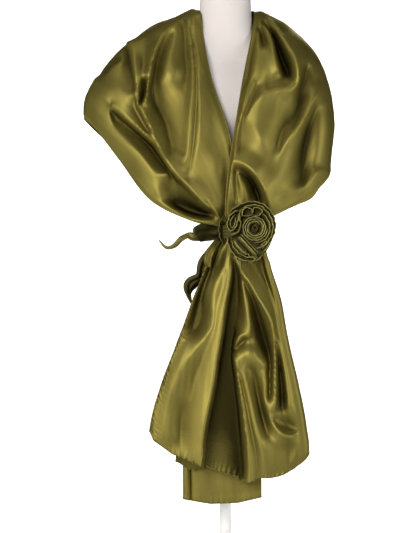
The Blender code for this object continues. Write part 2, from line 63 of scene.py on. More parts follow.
#    z, half width, half depth, centre y
FORM_LEVELS = (
    (712, 108, 78, -6), (716, 114, 84, -6), (735, 122, 92, -8), (765, 132, 102, -12),
    (797, 140, 107, -14), (830, 145, 104, -10), (870, 153, 99, -4), (915, 166, 94, 2),
    (950, 178, 87, 6), (975, 183, 78, 8), (994, 178, 68, 9), (1008, 163, 60, 8),
    (1022, 136, 57, 7), (1038, 100, 56, 5), (1055, 75, 56, 2), (1075, 60, 56, -1),
    (1100, 54, 55, -4), (1150, 52, 53, -8), (1157, 50, 51, -8), (1160, 44, 45, -8),
)
# Rows of the form's skin: up to the waist's edge, on to the neck's edge, over it
FORM_ROWS, FORM_SIDES = (4, 110), 96

SATIN_THICK, FORM_CLEARANCE, RIBBON_THICK = 0.7, 0.8, 0.8
SHARP_EDGE = math.radians(60)
# How far from a point of the cloth the form is looked for, in metres
FORM_SEARCH = 0.04

# Wrap: sections from the knot over the left shoulder and back over the right one
#    top edge x, y, z,   low edge x, y, z,  round, swell x, swell y
WRAP_SECTIONS = (
    (22, -122, 662, -12, -122, 662, 0.0, 0, 0),
    (2, -130, 703, -20, -130, 673, 0.0, 0, 0),
    (11, -129, 764, -71, -130, 684, 0.1, 0, -6),
    (8, -124, 848, -152, -108, 726, 0.2, 0, -16),
    (-28, -92, 966, -215, -68, 808, 0.4, -6, -34),
    (-45, -52, 1052, -264, -30, 872, 0.8, -8, -40),
    (-51, -30, 1110, -291, 5, 896, 0.87, 2, 0),
    (-48, 52, 1122, -255, 78, 862, 0.75, -10, 18),
    (-26, 76, 1126, -160, 128, 784, 0.6, -8, 22),
    (0, 82, 1127, 0, 150, 716, 0.4, 0, 16),
    (26, 76, 1126, 122, 130, 752, 0.6, 10, 18),
    (48, 52, 1122, 180, 82, 784, 0.8, 26, 14),
    (60, 4, 1113, 199, -6, 792, 0.85, 42, 0),
    (52, -52, 1056, 196, -58, 768, 0.8, 26, -26),
    (34, -92, 966, 174, -92, 732, 0.4, 16, -34),
    (15, -126, 850, 142, -110, 716, 0.2, 4, -18),
    (4, -138, 780, 116, -121, 704, 0.1, 0, -6),
    (-1, -137, 703, 82, -130, 685, 0.0, 0, 0),
    (14, -129, 662, 68, -122, 662, 0.0, 0, 0),
)
LEFT_CREST, RIGHT_CREST = 6, 12
WRAP_ROWS, WRAP_COLUMNS, WRAP_WIDTH = (175, 90, 165), 112, 340
# Its rows are spaced by length of cloth with this share, and else by the sections
ROWS_BY_LENGTH = 0.6
WRAP_FOLD_LIFT, WRAP_GATHER_LIFT, GATHER_PLEATS, GATHER_REACH = 2.1, 1.8, 3.5, 1.5
# Ripples: lift, how much of the length counts, wavelength, waves, seed
WRAP_BROAD, WRAP_FINE = (1.9, 0.3, 75, 9, 3), (0.45, 0.25, 24, 11, 5)

# Crests and hollows of the folds, each with its softness: x and z as seen and height, along
# each. The cloth spans from one line to the next as a stretched skin does
FOLD_CELL, FOLD_SHARP, FOLD_SOFT, FOLD_MARGIN = 1.5, 2.2, 9.0, 12
SKIN_COARSEST, SKIN_ROUNDS = 16, 160
LEFT_FOLDS = """
neck rim outer 0.25: -80 1112 5, -76 1086 6, -73 1066 7, -70 1041 7, -66 1013 7, -65 983 7,
    -65 956 7, -67 926 7, -70 896 7, -72 858 7, -75 826 6, -77 796 4, -80 781 2
neck crease 0.25: -76 1112 2, -72 1081 1, -68 1051 0, -64 1020 0, -61 990 -1, -60 966 -1,
    -60 933 -1, -62 896 -1, -65 858 -1, -68 821 -1, -72 788 0
neck rim inner 0.25: -71 1112 4, -67 1086 5, -64 1063 6, -60 1038 6, -57 1013 6, -55 976 6,
    -54 941 6, -53 906 6, -54 871 6, -57 846 5, -61 826 5, -66 803 4, -71 783 3, -76 768 2
neck slope 0.8: -44 980 1, -34 930 1, -28 880 1, -26 820 1
collar crest 0.2: -68 1108 5, -65 1083 6, -58 1066 6, -50 1046 6, -46 1033 4
collar crease 0.1: -58 1108 0, -54 1080 -1, -51 1060 -1, -46 1046 -1
collar dark 0.6: -92 1108 -3, -84 1058 -4, -81 1033 -4, -79 1008 -4, -77 983 -4, -79 946 -3,
    -84 900 -2, -88 860 -2, -88 820 -2
bright crest 0.8: -97 1108 6, -96 1063 7, -103 1038 7, -111 1018 7, -117 1001 6, -123 978 4,
    -130 958 1
star light 0.6: -98 990 5, -106 971 4
side crest 0.1: -92 1092 4, -103 1076 6, -121 1056 8, -133 1036 10, -143 1013 12, -148 996 13,
    -152 976 13, -156 956 13, -160 936 13, -165 918 11
side hollow 0.5: -110 1062 -1, -126 1041 -4, -133 1021 -7, -140 1001 -9, -143 978 -10,
    -148 956 -10, -148 933 -10, -141 916 -10, -129 896 -9, -121 876 -8, -116 856 -7, -110 820 -4
pocket slope 0.5: -160 1035 2, -162 1010 0, -164 985 -2
pocket hollow 0.1: -160 965 -6, -161 945 -9, -166 928 -9, -171 918 -5
pocket crest 0.1: -203 1046 9, -195 1036 10, -188 1026 11, -185 1006 12, -182 983 12, -180 961 12,
    -178 936 12, -177 916 10, -173 909 9
shoulder dark 0.3: -202 1032 -5, -196 1013 -8, -193 996 -8, -187 971 -5, -184 946 -3
shoulder light 0.3: -212 1042 4, -210 1021 5, -211 995 5
shoulder slot 0.1: -212 1009 -5, -224 997 -6, -234 986 -5, -242 977 -2
slot lip 0.2: -254 971 3, -246 963 5, -236 976 6, -226 990 7, -214 1001 6
top ridge 0.2: -196 1050 6, -171 1058 6, -146 1065 5, -120 1068 3
yoke dark 0.7: -160 1048 0, -146 1040 -1
lobe 0.9: -228 955 6, -216 946 7, -206 930 6
second crest 0.2: -256 971 6, -248 946 9, -238 926 11, -226 912 12, -211 901 12, -196 886 12,
    -178 871 12, -161 856 11, -148 842 9
between hollow 0.4: -182 925 -1, -178 906 -2, -166 883 -3, -152 861 -3
under hollow 0.3: -228 902 -4, -211 889 -6, -191 872 -8, -171 854 -9, -151 836 -10, -136 816 -10,
    -121 794 -10, -104 772 -8, -80 748 -5, -56 722 -3
main crest 0.1: -169 908 9, -161 888 12, -151 866 13, -141 843 14, -131 823 14, -121 806 14,
    -111 788 13, -98 773 12, -88 763 11, -71 746 10, -56 731 9, -36 713 7, -21 698 4
far lobe 0.6: -274 902 5, -264 918 8, -256 936 8, -258 952 6
fold corner 0.2: -231 921 3, -233 896 5, -228 880 5
corner dark 0.4: -222 890 -4, -214 880 -4
third crest 0.7: -228 872 6, -213 856 7, -196 838 8, -178 821 8, -161 801 7, -146 783 6, -142 771 4
low swell 0.9: -196 806 1, -168 764 1
low rim light 0.3: -141 772 4, -130 777 4, -116 778 3
low light 0.7: -141 748 5, -133 736 4
low dark top 0.4: -116 730 -5, -100 718 -12, -74 709 -13, -48 703 -12, -32 698 -8
low dark foot 0.3: -104 713 -8, -72 701 -12, -46 696 -11, -28 693 -6
low rim line 0.1: -131 723 4, -106 708 5, -71 691 6, -46 686 5, -21 685 3
cross light 0.8: -50 770 3, -41 738 4, -38 726 3
knot crest 0.2: -24 711 6, -16 696 6, -11 686 3
knot dark 0.4: -31 708 -2, -24 697 -3
knot side dark 0.4: -6 704 -3, -4 694 -3
edge slope 0.8: -8 780 1, -2 740 1
"""
RIGHT_FOLDS = """
hem inner line 0.1: 60 1110 4, 58 1081 5, 52 1046 5, 45 1008 5, 39 971 4, 34 941 3
hem crease 0.1: 64 1108 -1, 61 1076 -2, 56 1046 -3, 50 1013 -3, 45 983 -3, 38 956 -1
edge crest 0.5: 66 1060 4, 64 1046 6, 61 1021 7, 56 996 7, 51 966 7, 43 933 7, 35 906 7, 26 881 7,
    20 858 6, 18 836 6, 19 813 4
edge dark 0.5: 62 960 -1, 50 930 -1, 33 884 -3, 28 858 -3, 27 826 -2
inner dark 0.3: 70 1078 -4, 71 1058 -6, 76 1046 -6, 80 1034 -3
inner light 0.7: 80 1012 4, 84 994 4, 90 976 4
thin crest 0.1: 64 1100 4, 67 1079 6, 80 1066 9, 90 1046 10, 95 1026 10, 99 1003 9, 103 983 7
shoulder hollow 0.2: 78 1088 -3, 88 1070 -8, 98 1051 -13, 105 1028 -14, 113 1006 -14, 123 986 -12,
    130 970 -6
outer crest 0.1: 76 1096 6, 81 1084 7, 98 1068 9, 113 1046 10, 125 1028 11, 135 1013 12,
    140 996 12, 143 978 11, 144 962 8
top dark 0.4: 98 1079 -1, 115 1061 -2
outer slope 0.9: 140 1050 4, 165 1010 4, 186 960 4
above arch 0.5: 123 958 -2, 98 961 -2, 84 950 -1
arch 0.4: 143 956 7, 128 948 7, 105 946 7, 88 943 7, 73 936 8, 60 923 8, 48 906 7, 38 886 5
breast 0.9: 84 912 0, 96 890 -1
breast hollow 0.7: 118 925 -3, 121 905 -6, 118 884 -9, 112 866 -9, 108 846 -8, 103 826 -6
breast light 0.7: 45 884 4, 58 866 6, 68 850 6, 74 836 4
side dark streak 0.3: 163 991 -3, 158 971 -6, 153 951 -8, 150 926 -10, 147 906 -9, 140 886 -8,
    130 871 -6
side crest 0.4: 186 955 5, 178 936 7, 168 916 8, 158 893 9, 147 876 9, 134 858 8, 122 843 6,
    112 826 3, 104 806 2
outer hollow 0.5: 183 914 -4, 173 891 -8, 165 871 -11, 160 846 -12, 157 821 -12, 155 796 -11,
    153 771 -9, 151 757 -5
outer light 0.7: 198 930 4, 197 908 5, 196 871 5, 193 833 5, 188 808 5
low crest 0.1: 196 789 6, 183 784 8, 173 774 8, 163 759 8, 153 748 7, 138 738 5
low light 0.8: 98 780 4, 110 758 5, 123 746 5, 108 734 4
low middle 0.8: 60 820 1, 84 800 2
rose crest 0.1: 11 804 5, 28 801 8, 43 791 11, 58 776 12, 70 758 12, 78 741 12, 84 721 10, 88 703 5
rose hollow 0.2: 30 784 -2, 46 773 -8, 56 758 -10, 65 738 -10, 69 718 -7
rose edge 0.1: 10 798 4, 12 771 5, 13 746 5, 15 721 3
rose edge crease 0.2: 19 789 -1, 20 771 -2, 21 746 -2, 22 724 -1
rose soft light 0.5: 26 776 3, 31 761 4, 36 746 4, 38 728 2
edge turn 0.6: 11 836 4, 15 812 4
"""
BACK_FOLDS = """
collar crest 0.5: -84 1094 5, -40 1082 7, 0 1079 7, 40 1083 6, 84 1094 5
collar hollow 0.5: -106 1080 -3, -50 1062 -5, 0 1057 -6, 50 1064 -5, 100 1078 -3
first swag 0.3: -164 1064 3, -96 1034 6, -10 1016 7, 74 1030 5, 140 1056 2
first hollow 0.6: -186 1040 -2, -96 1000 -4, -10 984 -5, 90 1006 -3, 150 1030 -2
second swag 0.2: -226 1014 4, -130 958 9, -22 932 10, 84 960 8, 174 1008 4
second hollow 0.4: -226 974 -3, -126 922 -6, -20 898 -7, 96 926 -6, 180 974 -3
third swag 0.3: -240 940 2, -150 886 5, -30 858 6, 92 890 7, 192 940 4
third hollow 0.8: -230 890 -2, -140 850 -3, -20 828 -4, 100 856 -5, 190 888 -3
fourth swag 0.5: -240 872 3, -150 818 7, -10 788 8, 100 812 6, 188 850 3
low hollow 0.8: -190 828 -2, -90 774 -4, 0 754 -4, 80 768 -3, 160 800 -2
"""

# Front tail: a row for each level of its front layer and the layer folded behind it
#    z, front left x, right fold x, back layer's left x, front y, depth between layers
TAIL_LEVELS = (
    (659, -9, 55, -7, -132.8, 11), (648, -12, 57, -10, -133.0, 11), (630, -25, 70, -20, -135, 14),
    (602, -38, 78, -32, -136, 17), (527, -66, 98, -52, -138, 22), (448, -95, 111, -70, -141, 25),
    (350, -131, 132, -88, -144, 27), (270, -151, 146, -98, -146, 28),
    (224, -151, 150, -100, -147, 28), (200, -151, 139, -101, -147, 28),
    (170, -150, 125, -102, -147, 28),
)
FRONT_SHARE, FOLD_SHARE = 0.62, 0.08
# Its hem: share across the front layer and then the back one, and height
TAIL_HEM = (
    (0.0, 268), (0.02, 250), (0.09, 225), (0.21, 202), (0.32, 186), (0.385, 178), (0.402, 168.5),
    (0.455, 170.5), (0.475, 177.5), (0.53, 178.5), (0.58, 184), (0.61, 194), (0.62, 200),
    (0.66, 225), (0.72, 232), (0.85, 210), (0.955, 189), (1.0, 206),
)
TAIL_ROWS, TAIL_COLUMNS = 236, (126, 12, 50)
TAIL_FOLD_LIFT, TAIL_BELLY, TAIL_BACK_WAVE, TAIL_ROOM_KEPT = 2.2, 7, 3, 4
TAIL_GATHER_LIFT, TAIL_PLEATS, TAIL_GATHER_REACH = 3.4, 5.5, 0.14
TAIL_BROAD, TAIL_FINE, TAIL_SLANT = (1.8, 0.22, 60, 9, 21), (0.4, 0.15, 20, 9, 23), 0.35
TAIL_FOLDS = """
bright band 0.5: 1 625 3, -2 602 5, -9 582 6, -18 565 7, -23 542 8, -26 519 8, -26 496 8,
    -29 473 8, -43 450 8, -63 427 7, -78 407 7, -90 376 6, -96 346 5, -102 313 3, -106 280 3,
    -107 245 2
edge band 0.3: 8 613 4, 9 590 6, 3 562 7, -5 533 8, -12 502 8, -18 470 8, -26 439 7, -35 399 6,
    -43 342 6, -50 285 7, -53 227 6, -56 195 4
band crease 0.6: -2 582 3, -6 559 3, -13 533 3, -18 507 4, -23 473 4, -32 445 3, -43 413 2,
    -56 385 1, -64 356 1, -70 322 1, -74 285 1, -76 250 1
top dark 0.6: -14 622 -4, -18 600 -7, -30 582 -8, -46 562 -8, -50 533 -8, -46 507 -8, -50 485 -8,
    -60 467 -7, -72 462 -5
side dark 0.8: -84 316 -1, -90 292 -3, -93 264 -4, -91 238 -2
trough left edge 0.1: 13 612 2, 12 590 4, 8 562 6, 1 533 8, -4 502 9, -7 470 9, -12 439 9,
    -18 405 9, -22 370 9, -29 333 9, -36 299 9, -42 270 9, -46 242 8, -47 208 7, -48 186 6
trough left wall 0.2: 15 606 -4, 17 584 -7, 14 556 -9, 9 525 -11, 4 495 -12, 0 465 -12, -5 434 -12,
    -11 400 -12, -16 365 -12, -22 328 -12, -29 294 -12, -35 262 -12, -39 212 -11, -42 184 -9
trough floor 0.1: 16 500 -11, 14 440 -14, 12 410 -15, 15 380 -15, 19 345 -15, 23 300 -15,
    26 262 -15, 30 212 -14, 32 172 -12
trough plane 0.4: 20 596 -5, 23 575 -8, 25 545 -9, 25 515 -9, 23 490 -9, 18 470 -9
knee light 0.3: 33 562 4, 38 527 7, 44 496 8, 47 470 8, 44 452 7
knee lobe 0.2: 36 457 7, 28 454 6, 20 440 5, 14 428 5
knee crease 0.1: 40 450 2, 38 448 -2, 28 437 -5, 18 428 -5
knee plane 0.7: 14 417 5, 30 418 8, 48 426 8, 60 413 8, 71 399 7, 80 396 5
step edge 0.1: 15 410 5, 17 404 6, 24 367 7, 29 336 8, 34 305 8, 37 276 9, 41 247 9, 44 219 8,
    45 182 7, 46 158 6
step crease 0.2: 22 385 1, 29 367 0, 37 336 0, 44 299 1, 51 262 1, 58 227 1, 61 196 1, 62 160 1
step crest 0.3: 25 399 6, 37 367 8, 45 336 9, 52 305 9, 59 273 9, 67 245 9, 73 216 8, 75 190 7,
    77 160 5
step hollow 0.5: 46 393 -1, 57 370 -6, 60 347 -8, 65 325 -8, 71 299 -8, 77 273 -5, 82 256 -2
round crest 0.4: 76 384 5, 78 356 6, 78 333 6, 82 313 6, 86 300 6
long hollow 0.3: 37 562 -1, 50 540 -5, 60 510 -9, 68 480 -10, 76 455 -11, 84 430 -11, 88 405 -9,
    88 384 -8, 87 356 -7, 86 330 -6
long hollow side 0.4: 53 505 -5, 59 470 -6, 69 442 -7, 78 420 -7
long crest 0.1: 19 610 3, 25 590 6, 37 573 8, 48 556 9, 59 536 10, 74 513 12, 85 493 12, 92 479 12
right dark 0.6: 48 605 -5, 66 588 -7, 84 570 -8, 97 545 -8, 106 515 -7, 112 480 -5, 118 450 -4
right slope 0.9: 122 462 -4, 130 428 -4, 138 395 -3, 143 360 -2
pocket rim 0.1: 92 476 12, 95 450 9, 98 427 8, 98 399 8, 98 370 7, 98 342 7, 97 319 6, 93 305 5
pocket hollow 0.3: 101 440 -3, 106 415 -8, 109 385 -11, 111 355 -11, 112 325 -10, 110 305 -5
pocket outer line 0.1: 99 459 7, 107 439 7, 115 413 7, 121 385 7, 125 356 7, 126 327 5, 127 313 4
bottom light 0.4: 131 319 5, 139 305 6, 150 289 5
swag hollow 0.7: 97 288 -2, 111 276 -5, 131 270 -6, 146 270 -4
swag crest 0.2: 87 297 6, 99 273 8, 117 257 9, 134 256 8, 148 264 8, 155 276 5
low dark 0.9: 122 240 -2, 130 232 -3, 130 214 -3, 127 202 -2
low light 0.9: 106 238 4, 108 222 4, 113 202 3
edge light 0.8: 151 256 4, 146 240 5, 140 218 4, 134 200 3
"""

# Back tail, folded in two: z, left fold x, right edge x, y, depth between layers
BACK_TAIL_LEVELS = (
    (659, -4, 54, -114.6, 8), (648, -6, 56, -114.2, 8), (630, -18, 62, -112, 9),
    (600, -28, 66, -108, 11), (520, -58, 69, -103, 14), (430, -80, 70, -99, 16),
    (300, -86, 70, -97, 17), (124, -86, 71, -96, 18),
)
BACK_TAIL_ROWS, BACK_TAIL_COLUMNS, BACK_TAIL_STEP = 150, 46, 9.0
BACK_TAIL_HEM = ((0.0, 129), (0.35, 120), (0.7, 122), (1.0, 133))
BACK_TAIL_BROAD, BACK_TAIL_FINE = (1.3, 0.3, 70, 5, 31), (0.3, 1, 22, 7, 33)

# Hems: rolled edge, whip stitches and the puckers they pull
HEM_RADIUS, HEM_STITCH_PITCH, HEM_STITCH_LENGTH, NECK_STITCH_PITCH = 1.4, 6.0, 3.8, 7.0
HEM_SWELL, STITCH_SLENDER, STITCH_FORWARD, STITCH_SLANT = 0.16, 0.16, -0.75, (0.5, 0.0, 0.35)
# Rows of cloth that the neck's hem leaves at both ends, and the side's hem at the band
NECK_HEM_FREE, SIDE_HEM_FREE = 6, 12
PUCKER_PITCH, PUCKER_DEPTH, PUCKER_REACH = 9.0, 1.1, 7.0
HEM_INPUTS = {
    "Edge line": "Geometry",
    "Roll radius": "Float",
    "Stitch pitch": "Float",
    "Stitch length": "Float",
    "Cloth": "Material",
    "Thread": "Material",
}

# Painted shade and highlight, carried by the 'hollow' attribute: hollows are painted darker than
# crests, and crests lighter. Over how wide a way they are told apart, how deep is darkest, and how
# much what lies low in itself adds
PAINTED_SHADE_REACH, PAINTED_SHADE_DEEP, PAINTED_SHADE_LOW_SHARE = 20.0, 9.0, 0.6

# Rose: strips of doubled cloth on lines of x and z
ROSE_BACK_Y = KNOT_Y - BAND_HALF_DEPTH - SEAM_GAP
BACKING_THICK, STRIP_THICK, STRIP_BOW, WOUND_BOW = 2.0, 1.5, 3.5, 4.5
STRIP_STEP, STRIP_EASE, STRIP_POINTS, BEND_POINTS = 1.3, 5, 9, 7
WOUND_STEPS, WOUND_START, WOUND_RUFFLE = 70, 0.6, 0.4
HEART_X, HEART_Z = 55.3, 668.5
#    name, turns, inner and outer radius, depth, flare
WOUND_STRIPS = (("heart", 2.9, 13.0, 25.5, 27.0, 4.6), ("bud", 2.2, 1.4, 7.6, 14.0, 0.6))
#    name, depth, set back, flare, ruffle: x and z of its front edge
ROSE_STRIPS = """
inner petal 24 0 5 0.5: 55 640, 66 641, 77 647, 84 659, 85 674, 79 689, 70 698
right petal 22 0 5 0.6: 60 628, 74 634, 84 645, 90.5 660, 91 678, 85 694, 76 705, 64 713, 48 714,
    34 709, 26 699, 25 688, 27 676, 25 666, 18 659, 9 656
outer petal 19 0 4 0.6: 73 621, 85 638, 94 656, 97 675, 93 692, 83 707, 69 717, 50 721, 31 717,
    16 709, 7 701
left petal 23 0 2.5 0.5: 23 703, 14 700, 6 692, 1.5 680, 2 669, 8 663, 15 666, 20 675, 23 686,
    24 696
left petal lining 20 0 2 0.5: 16 695, 10 688, 7 679, 8 671, 13 670, 17 679, 18 690
upper folded lining 22 0 -2 0.2: 29 656, 43 640, 58 624, 62 619
upper folded strip 25 0 -8 0.2: 26 652, 40 637, 55 621, 59 616
lower folded strip 22 0 -7 0.3: 15 645, 22 634, 33 623, 40 618.5
crushed frill 21 0 2.5 0.5: 38 624, 36 616, 43 618, 44 610.5, 51 613, 55 607, 60 611
low petal 20 0 3.5 0.7: 1 652, 2 640, 7 627, 16 615, 28 607, 44 603.5, 60 606, 71 615
tucked petal 21 0 3 0.6: 9 646, 12 634, 21 622, 33 614, 47 610, 59 613
side petal 15 8.3 2 0.6: -5 693, -12 682, -15 668, -13 652, -7 638
top frill 25 0 2 0.7: 50 695, 41 692, 33 693, 31 701, 38 708, 48 706, 50 697, 53 706, 62 708,
    69 702, 65 694, 55 693
low curl 21 0 1.5 0.4: 66 632, 73 640, 78 643, 76 636, 70 628
"""

# Tie ends and leaf: x, y, z, width, lean in degrees, fold across
TIE_UPPER = (
    (-16.5, -122, 661, 29, -8, 3.0), (-40, -122, 660.5, 42, -34, 4.0),
    (-55, -123, 656.5, 39, -36, 4.0), (-65, -124, 652, 20, -30, 3.0),
    (-76, -124, 655, 13, 20, 3.0), (-90, -125, 648, 13, 25, 3.0), (-104, -124, 634, 10, 15, 3.0),
    (-119, -122, 631, 6, 10, 1.6), (-133, -121, 645, 3, 20, 0.5),
)
TIE_LOWER = (
    (-16.6, -119, 649.0, 16, -85, 2.0), (-31, -119, 622, 23, -55, 4.0),
    (-43, -118, 598, 27, -30, 5.0), (-51, -118, 572, 24, -45, 5.0), (-70, -119, 556, 28, -25, 6.0),
    (-73, -119, 536, 16, -60, 4.0), (-66, -119, 514, 4, -80, 0.8),
)
LEAF = (
    (-13.5, -135.2, 648.5, 11, 30, 0.5), (-27, -148, 633, 17, 35, 3.5),
    (-36, -152, 617, 19, 25, 4.5), (-38, -153, 602, 17, 30, 3.5), (-34, -152, 592, 10, 50, 1.0),
)
# Length of each painted darker as the band's shade, and over how much either way that painted shade
# fades
TIE_UPPER_SHADED, TIE_LOWER_SHADED, LEAF_SHADED, SHADE_FADE = 45, 130, 6, 8
RIBBON_COLUMNS = 26

# Band: what its two faces lie within the solid's, how it is divided, its pleats, and the painted
# shade over the whole strap
BAND_OUTSIDE, BAND_INSIDE, BAND_SIDES, BAND_LEVELS = 0.6, 1.6, 160, 23
BAND_PLEATS, BAND_PLEAT_SHARE, BAND_SWAY, BAND_PAINTED_SHADE = 4, 1 / 60, 0.8, 0.9

# Colours: of cloth, a lighter and a deeper tone between which it varies and past which its painted
# shade and highlight reach, of the form with its painted shade low on the chest, and of the stand's
# paint
SATIN_LIGHT, SATIN_DEEP = (0.175, 0.145, 0.034), (0.138, 0.112, 0.025)
SHEEN_TINT, THREAD_SCALE = (0.7, 0.65, 0.42, 1.0), (60, 1800, 1)
ROSE_LIGHT, ROSE_DEEP = (0.225, 0.20, 0.062), (0.165, 0.146, 0.043)
# The rose's backing, painted far darker than the satin as the shade between the strips
BACKING_SHADE_LIGHT, BACKING_SHADE_DEEP = (0.062, 0.054, 0.018), (0.042, 0.036, 0.012)
THREAD_DARK, THREAD_LIGHT = (0.050, 0.042, 0.012), (0.085, 0.072, 0.022)
FORM_PALE, FORM_WARM, FORM_PAINTED_SHADE = (0.56, 0.52, 0.50), (0.51, 0.465, 0.445), (0.20, 0.175, 0.16)
PAINT_LIGHT, PAINT_WORN = (0.83, 0.82, 0.80), (0.70, 0.68, 0.65)
FORM_SHADE_BELOW, FORM_SHADE_RISE = 0.955, 4.6

# Studio, in metres: the paper's profile as y and z, where it curves up, half widths, and lights
PAPER_FLOOR, PAPER_CURVE, PAPER_TOP = ((-3.5, 0.0), (0.22, 0.0), (4.4, 0.0)), 0.8, 2.6
PAPER_HALF_WIDTHS, PAPER_DROP = (4.0, 1.5), 0.0005
PAPERS = (("floor_paper", 0.05), ("backdrop_paper", 1.0))
WORLD_LIGHT, LIT_PLACE = 0.06, (0, 0, 0.65)
LIGHTS = (
    ("key_softbox", (-1.2, -3.6, 1.7), (2.0, 2.0), 148, (1.0, 0.985, 0.96)),
    ("fill_softbox", (2.6, -1.5, 1.1), (0.9, 1.8), 44, (0.97, 0.985, 1.0)),
    ("side_softbox", (-2.9, -1.3, 1.1), (1.0, 1.8), 32, (1.0, 0.99, 0.97)),
    ("top_softbox", (-0.1, -0.4, 2.9), (1.2, 0.6), 8, (1.0, 1.0, 1.0)),
    ("back_softbox", (0.5, 3.0, 2.4), (1.8, 0.8), 34, (1.0, 1.0, 1.0)),
)


def named_lines(table):
    """Each line of a table in words: its name, the numbers after it, and its points."""
    for name, head, points in re.findall(r"([a-z ]+)([-\d. ]+):([-\d.,\s]+)", table):
        points = [[float(n) for n in point.split()] for point in points.split(",")]
        yield name.strip(), [float(n) for n in head.split()], points


def along_rows(rows, at):
    """A smooth curve through a table's rows, read at positions counted in rows."""
    rows, at = np.asarray(rows, float), np.asarray(at, float)
    last = len(rows) - 1
    i = np.clip(np.floor(at).astype(int), 0, last - 1)
    f = (at - i)[:, None]
    before, after = rows[np.maximum(i - 1, 0)], rows[np.minimum(i + 2, last)]
    here, there = rows[i], rows[i + 1]
    start_slope, end_slope = (there - before) / 2, (after - here) / 2
    start = here * (1 + 2 * f) * (1 - f) ** 2 + start_slope * f * (1 - f) ** 2
    return start + there * f**2 * (3 - 2 * f) + end_slope * f**2 * (f - 1)


def smooth(rows, count):
    """A table's curve, read at that many even places."""
    return along_rows(rows, np.linspace(0, len(rows) - 1, count))


def at_levels(rows, levels):
    """A table whose first column falls, read at the given levels."""
    rows = np.asarray(rows, float)
    index = np.interp(-np.asarray(levels, float), -rows[:, 0], np.arange(len(rows)))
    return along_rows(rows, index)


def run_along(points):
    """How far along a line each of its points lies."""
    return np.append(0, np.cumsum(np.linalg.norm(np.diff(points, axis=0), axis=1)))


def step(low, high, x):
    """A smooth rise from 0 to 1 between two values."""
    f = np.clip((x - low) / (high - low), 0, 1)
    return f * f * (3 - 2 * f)


def both_edges(t, first, last):
    """Nothing at both ends of a share, and all of it from these widths inward."""
    return step(0, first, t) * step(0, last, 1 - t)


def bell(x, width):
    """1 at nothing, falling off round it."""
    return np.exp(-((x / width) ** 2))


def pleated(share, count):
    """Round crests with narrow creases between them, from -1 to 1."""
    return 1 - 2 * np.abs(np.sin(math.pi * count * share)) ** 0.8


def normals(grid):
    """Unit normals of a grid of points, rows by columns."""
    n = np.cross(np.gradient(grid, axis=0), np.gradient(grid, axis=1))
    return n / np.maximum(np.linalg.norm(n, axis=2, keepdims=True), 1e-9)


def as_seen(grid):
    """Where points show on the plane SEEN_Y, as x and z."""
    scale = (CAMERA_DISTANCE + SEEN_Y) / (CAMERA_DISTANCE + grid[..., 1])
    x = CAMERA_X + (grid[..., 0] - CAMERA_X) * scale
    return x, CAMERA_Z + (grid[..., 2] - CAMERA_Z) * scale


def ripples(x, z, kind):
    """Smooth seeded unevenness of one kind, as a lift."""
    lift, share, length, count, seed = kind
    chance = np.random.default_rng(seed)
    total = np.zeros_like(x)
    for _ in range(count):
        turn, phase = chance.uniform(0, TURN, 2)
        pitch = length * chance.uniform(0.7, 1.5)
        wave = x * math.cos(turn) + share * z * math.sin(turn)
        total += np.sin(TURN * wave / pitch + phase)
    return lift * (total / count**0.5 / 1.6)


def blurred(field, cells):
    """A field of cells, softened over that many of them."""
    reach = int(3 * cells) + 1
    weight = np.exp(-0.5 * (np.arange(-reach, reach + 1) / cells) ** 2)
    weight /= weight.sum()
    for axis in (0, 1):
        pad = [(0, 0), (0, 0)]
        pad[axis] = (reach, reach)
        wide = np.pad(field, pad, mode="edge")
        size = field.shape[axis]
        slices = (np.take(wide, range(k, k + size), axis=axis) for k in range(2 * reach + 1))
        field = sum(w * part for w, part in zip(weight, slices))
    return field


def stretched(points, values, low, cells):
    """Values of a skin stretched between points, one column of values for each field."""
    field, coarse = None, SKIN_COARSEST
    while coarse:
        size = -(-cells[0] // coarse), -(-cells[1] // coarse)
        index = np.floor((points - low) / (FOLD_CELL * coarse)).astype(int)
        index = np.clip(index, 0, np.array(size) - 1)
        flat = index[:, 0] * size[1] + index[:, 1]
        count = np.bincount(flat, minlength=size[0] * size[1])
        held = (count > 0).reshape(size)
        sums = [np.bincount(flat, v, minlength=size[0] * size[1]) for v in values.T]
        pinned = np.stack([(t / np.maximum(count, 1)).reshape(size) for t in sums], axis=2)
        if field is None:
            field = np.zeros((*size, values.shape[1]))
        else:
            field = np.repeat(np.repeat(field, 2, axis=0), 2, axis=1)[: size[0], : size[1]]
        for _ in range(SKIN_ROUNDS):
            field[held] = pinned[held]
            wide = np.pad(field, ((1, 1), (1, 1), (0, 0)), mode="edge")
            field = (wide[:-2, 1:-1] + wide[2:, 1:-1] + wide[1:-1, :-2] + wide[1:-1, 2:]) / 4
        field[held] = pinned[held]
        coarse //= 2
    return field


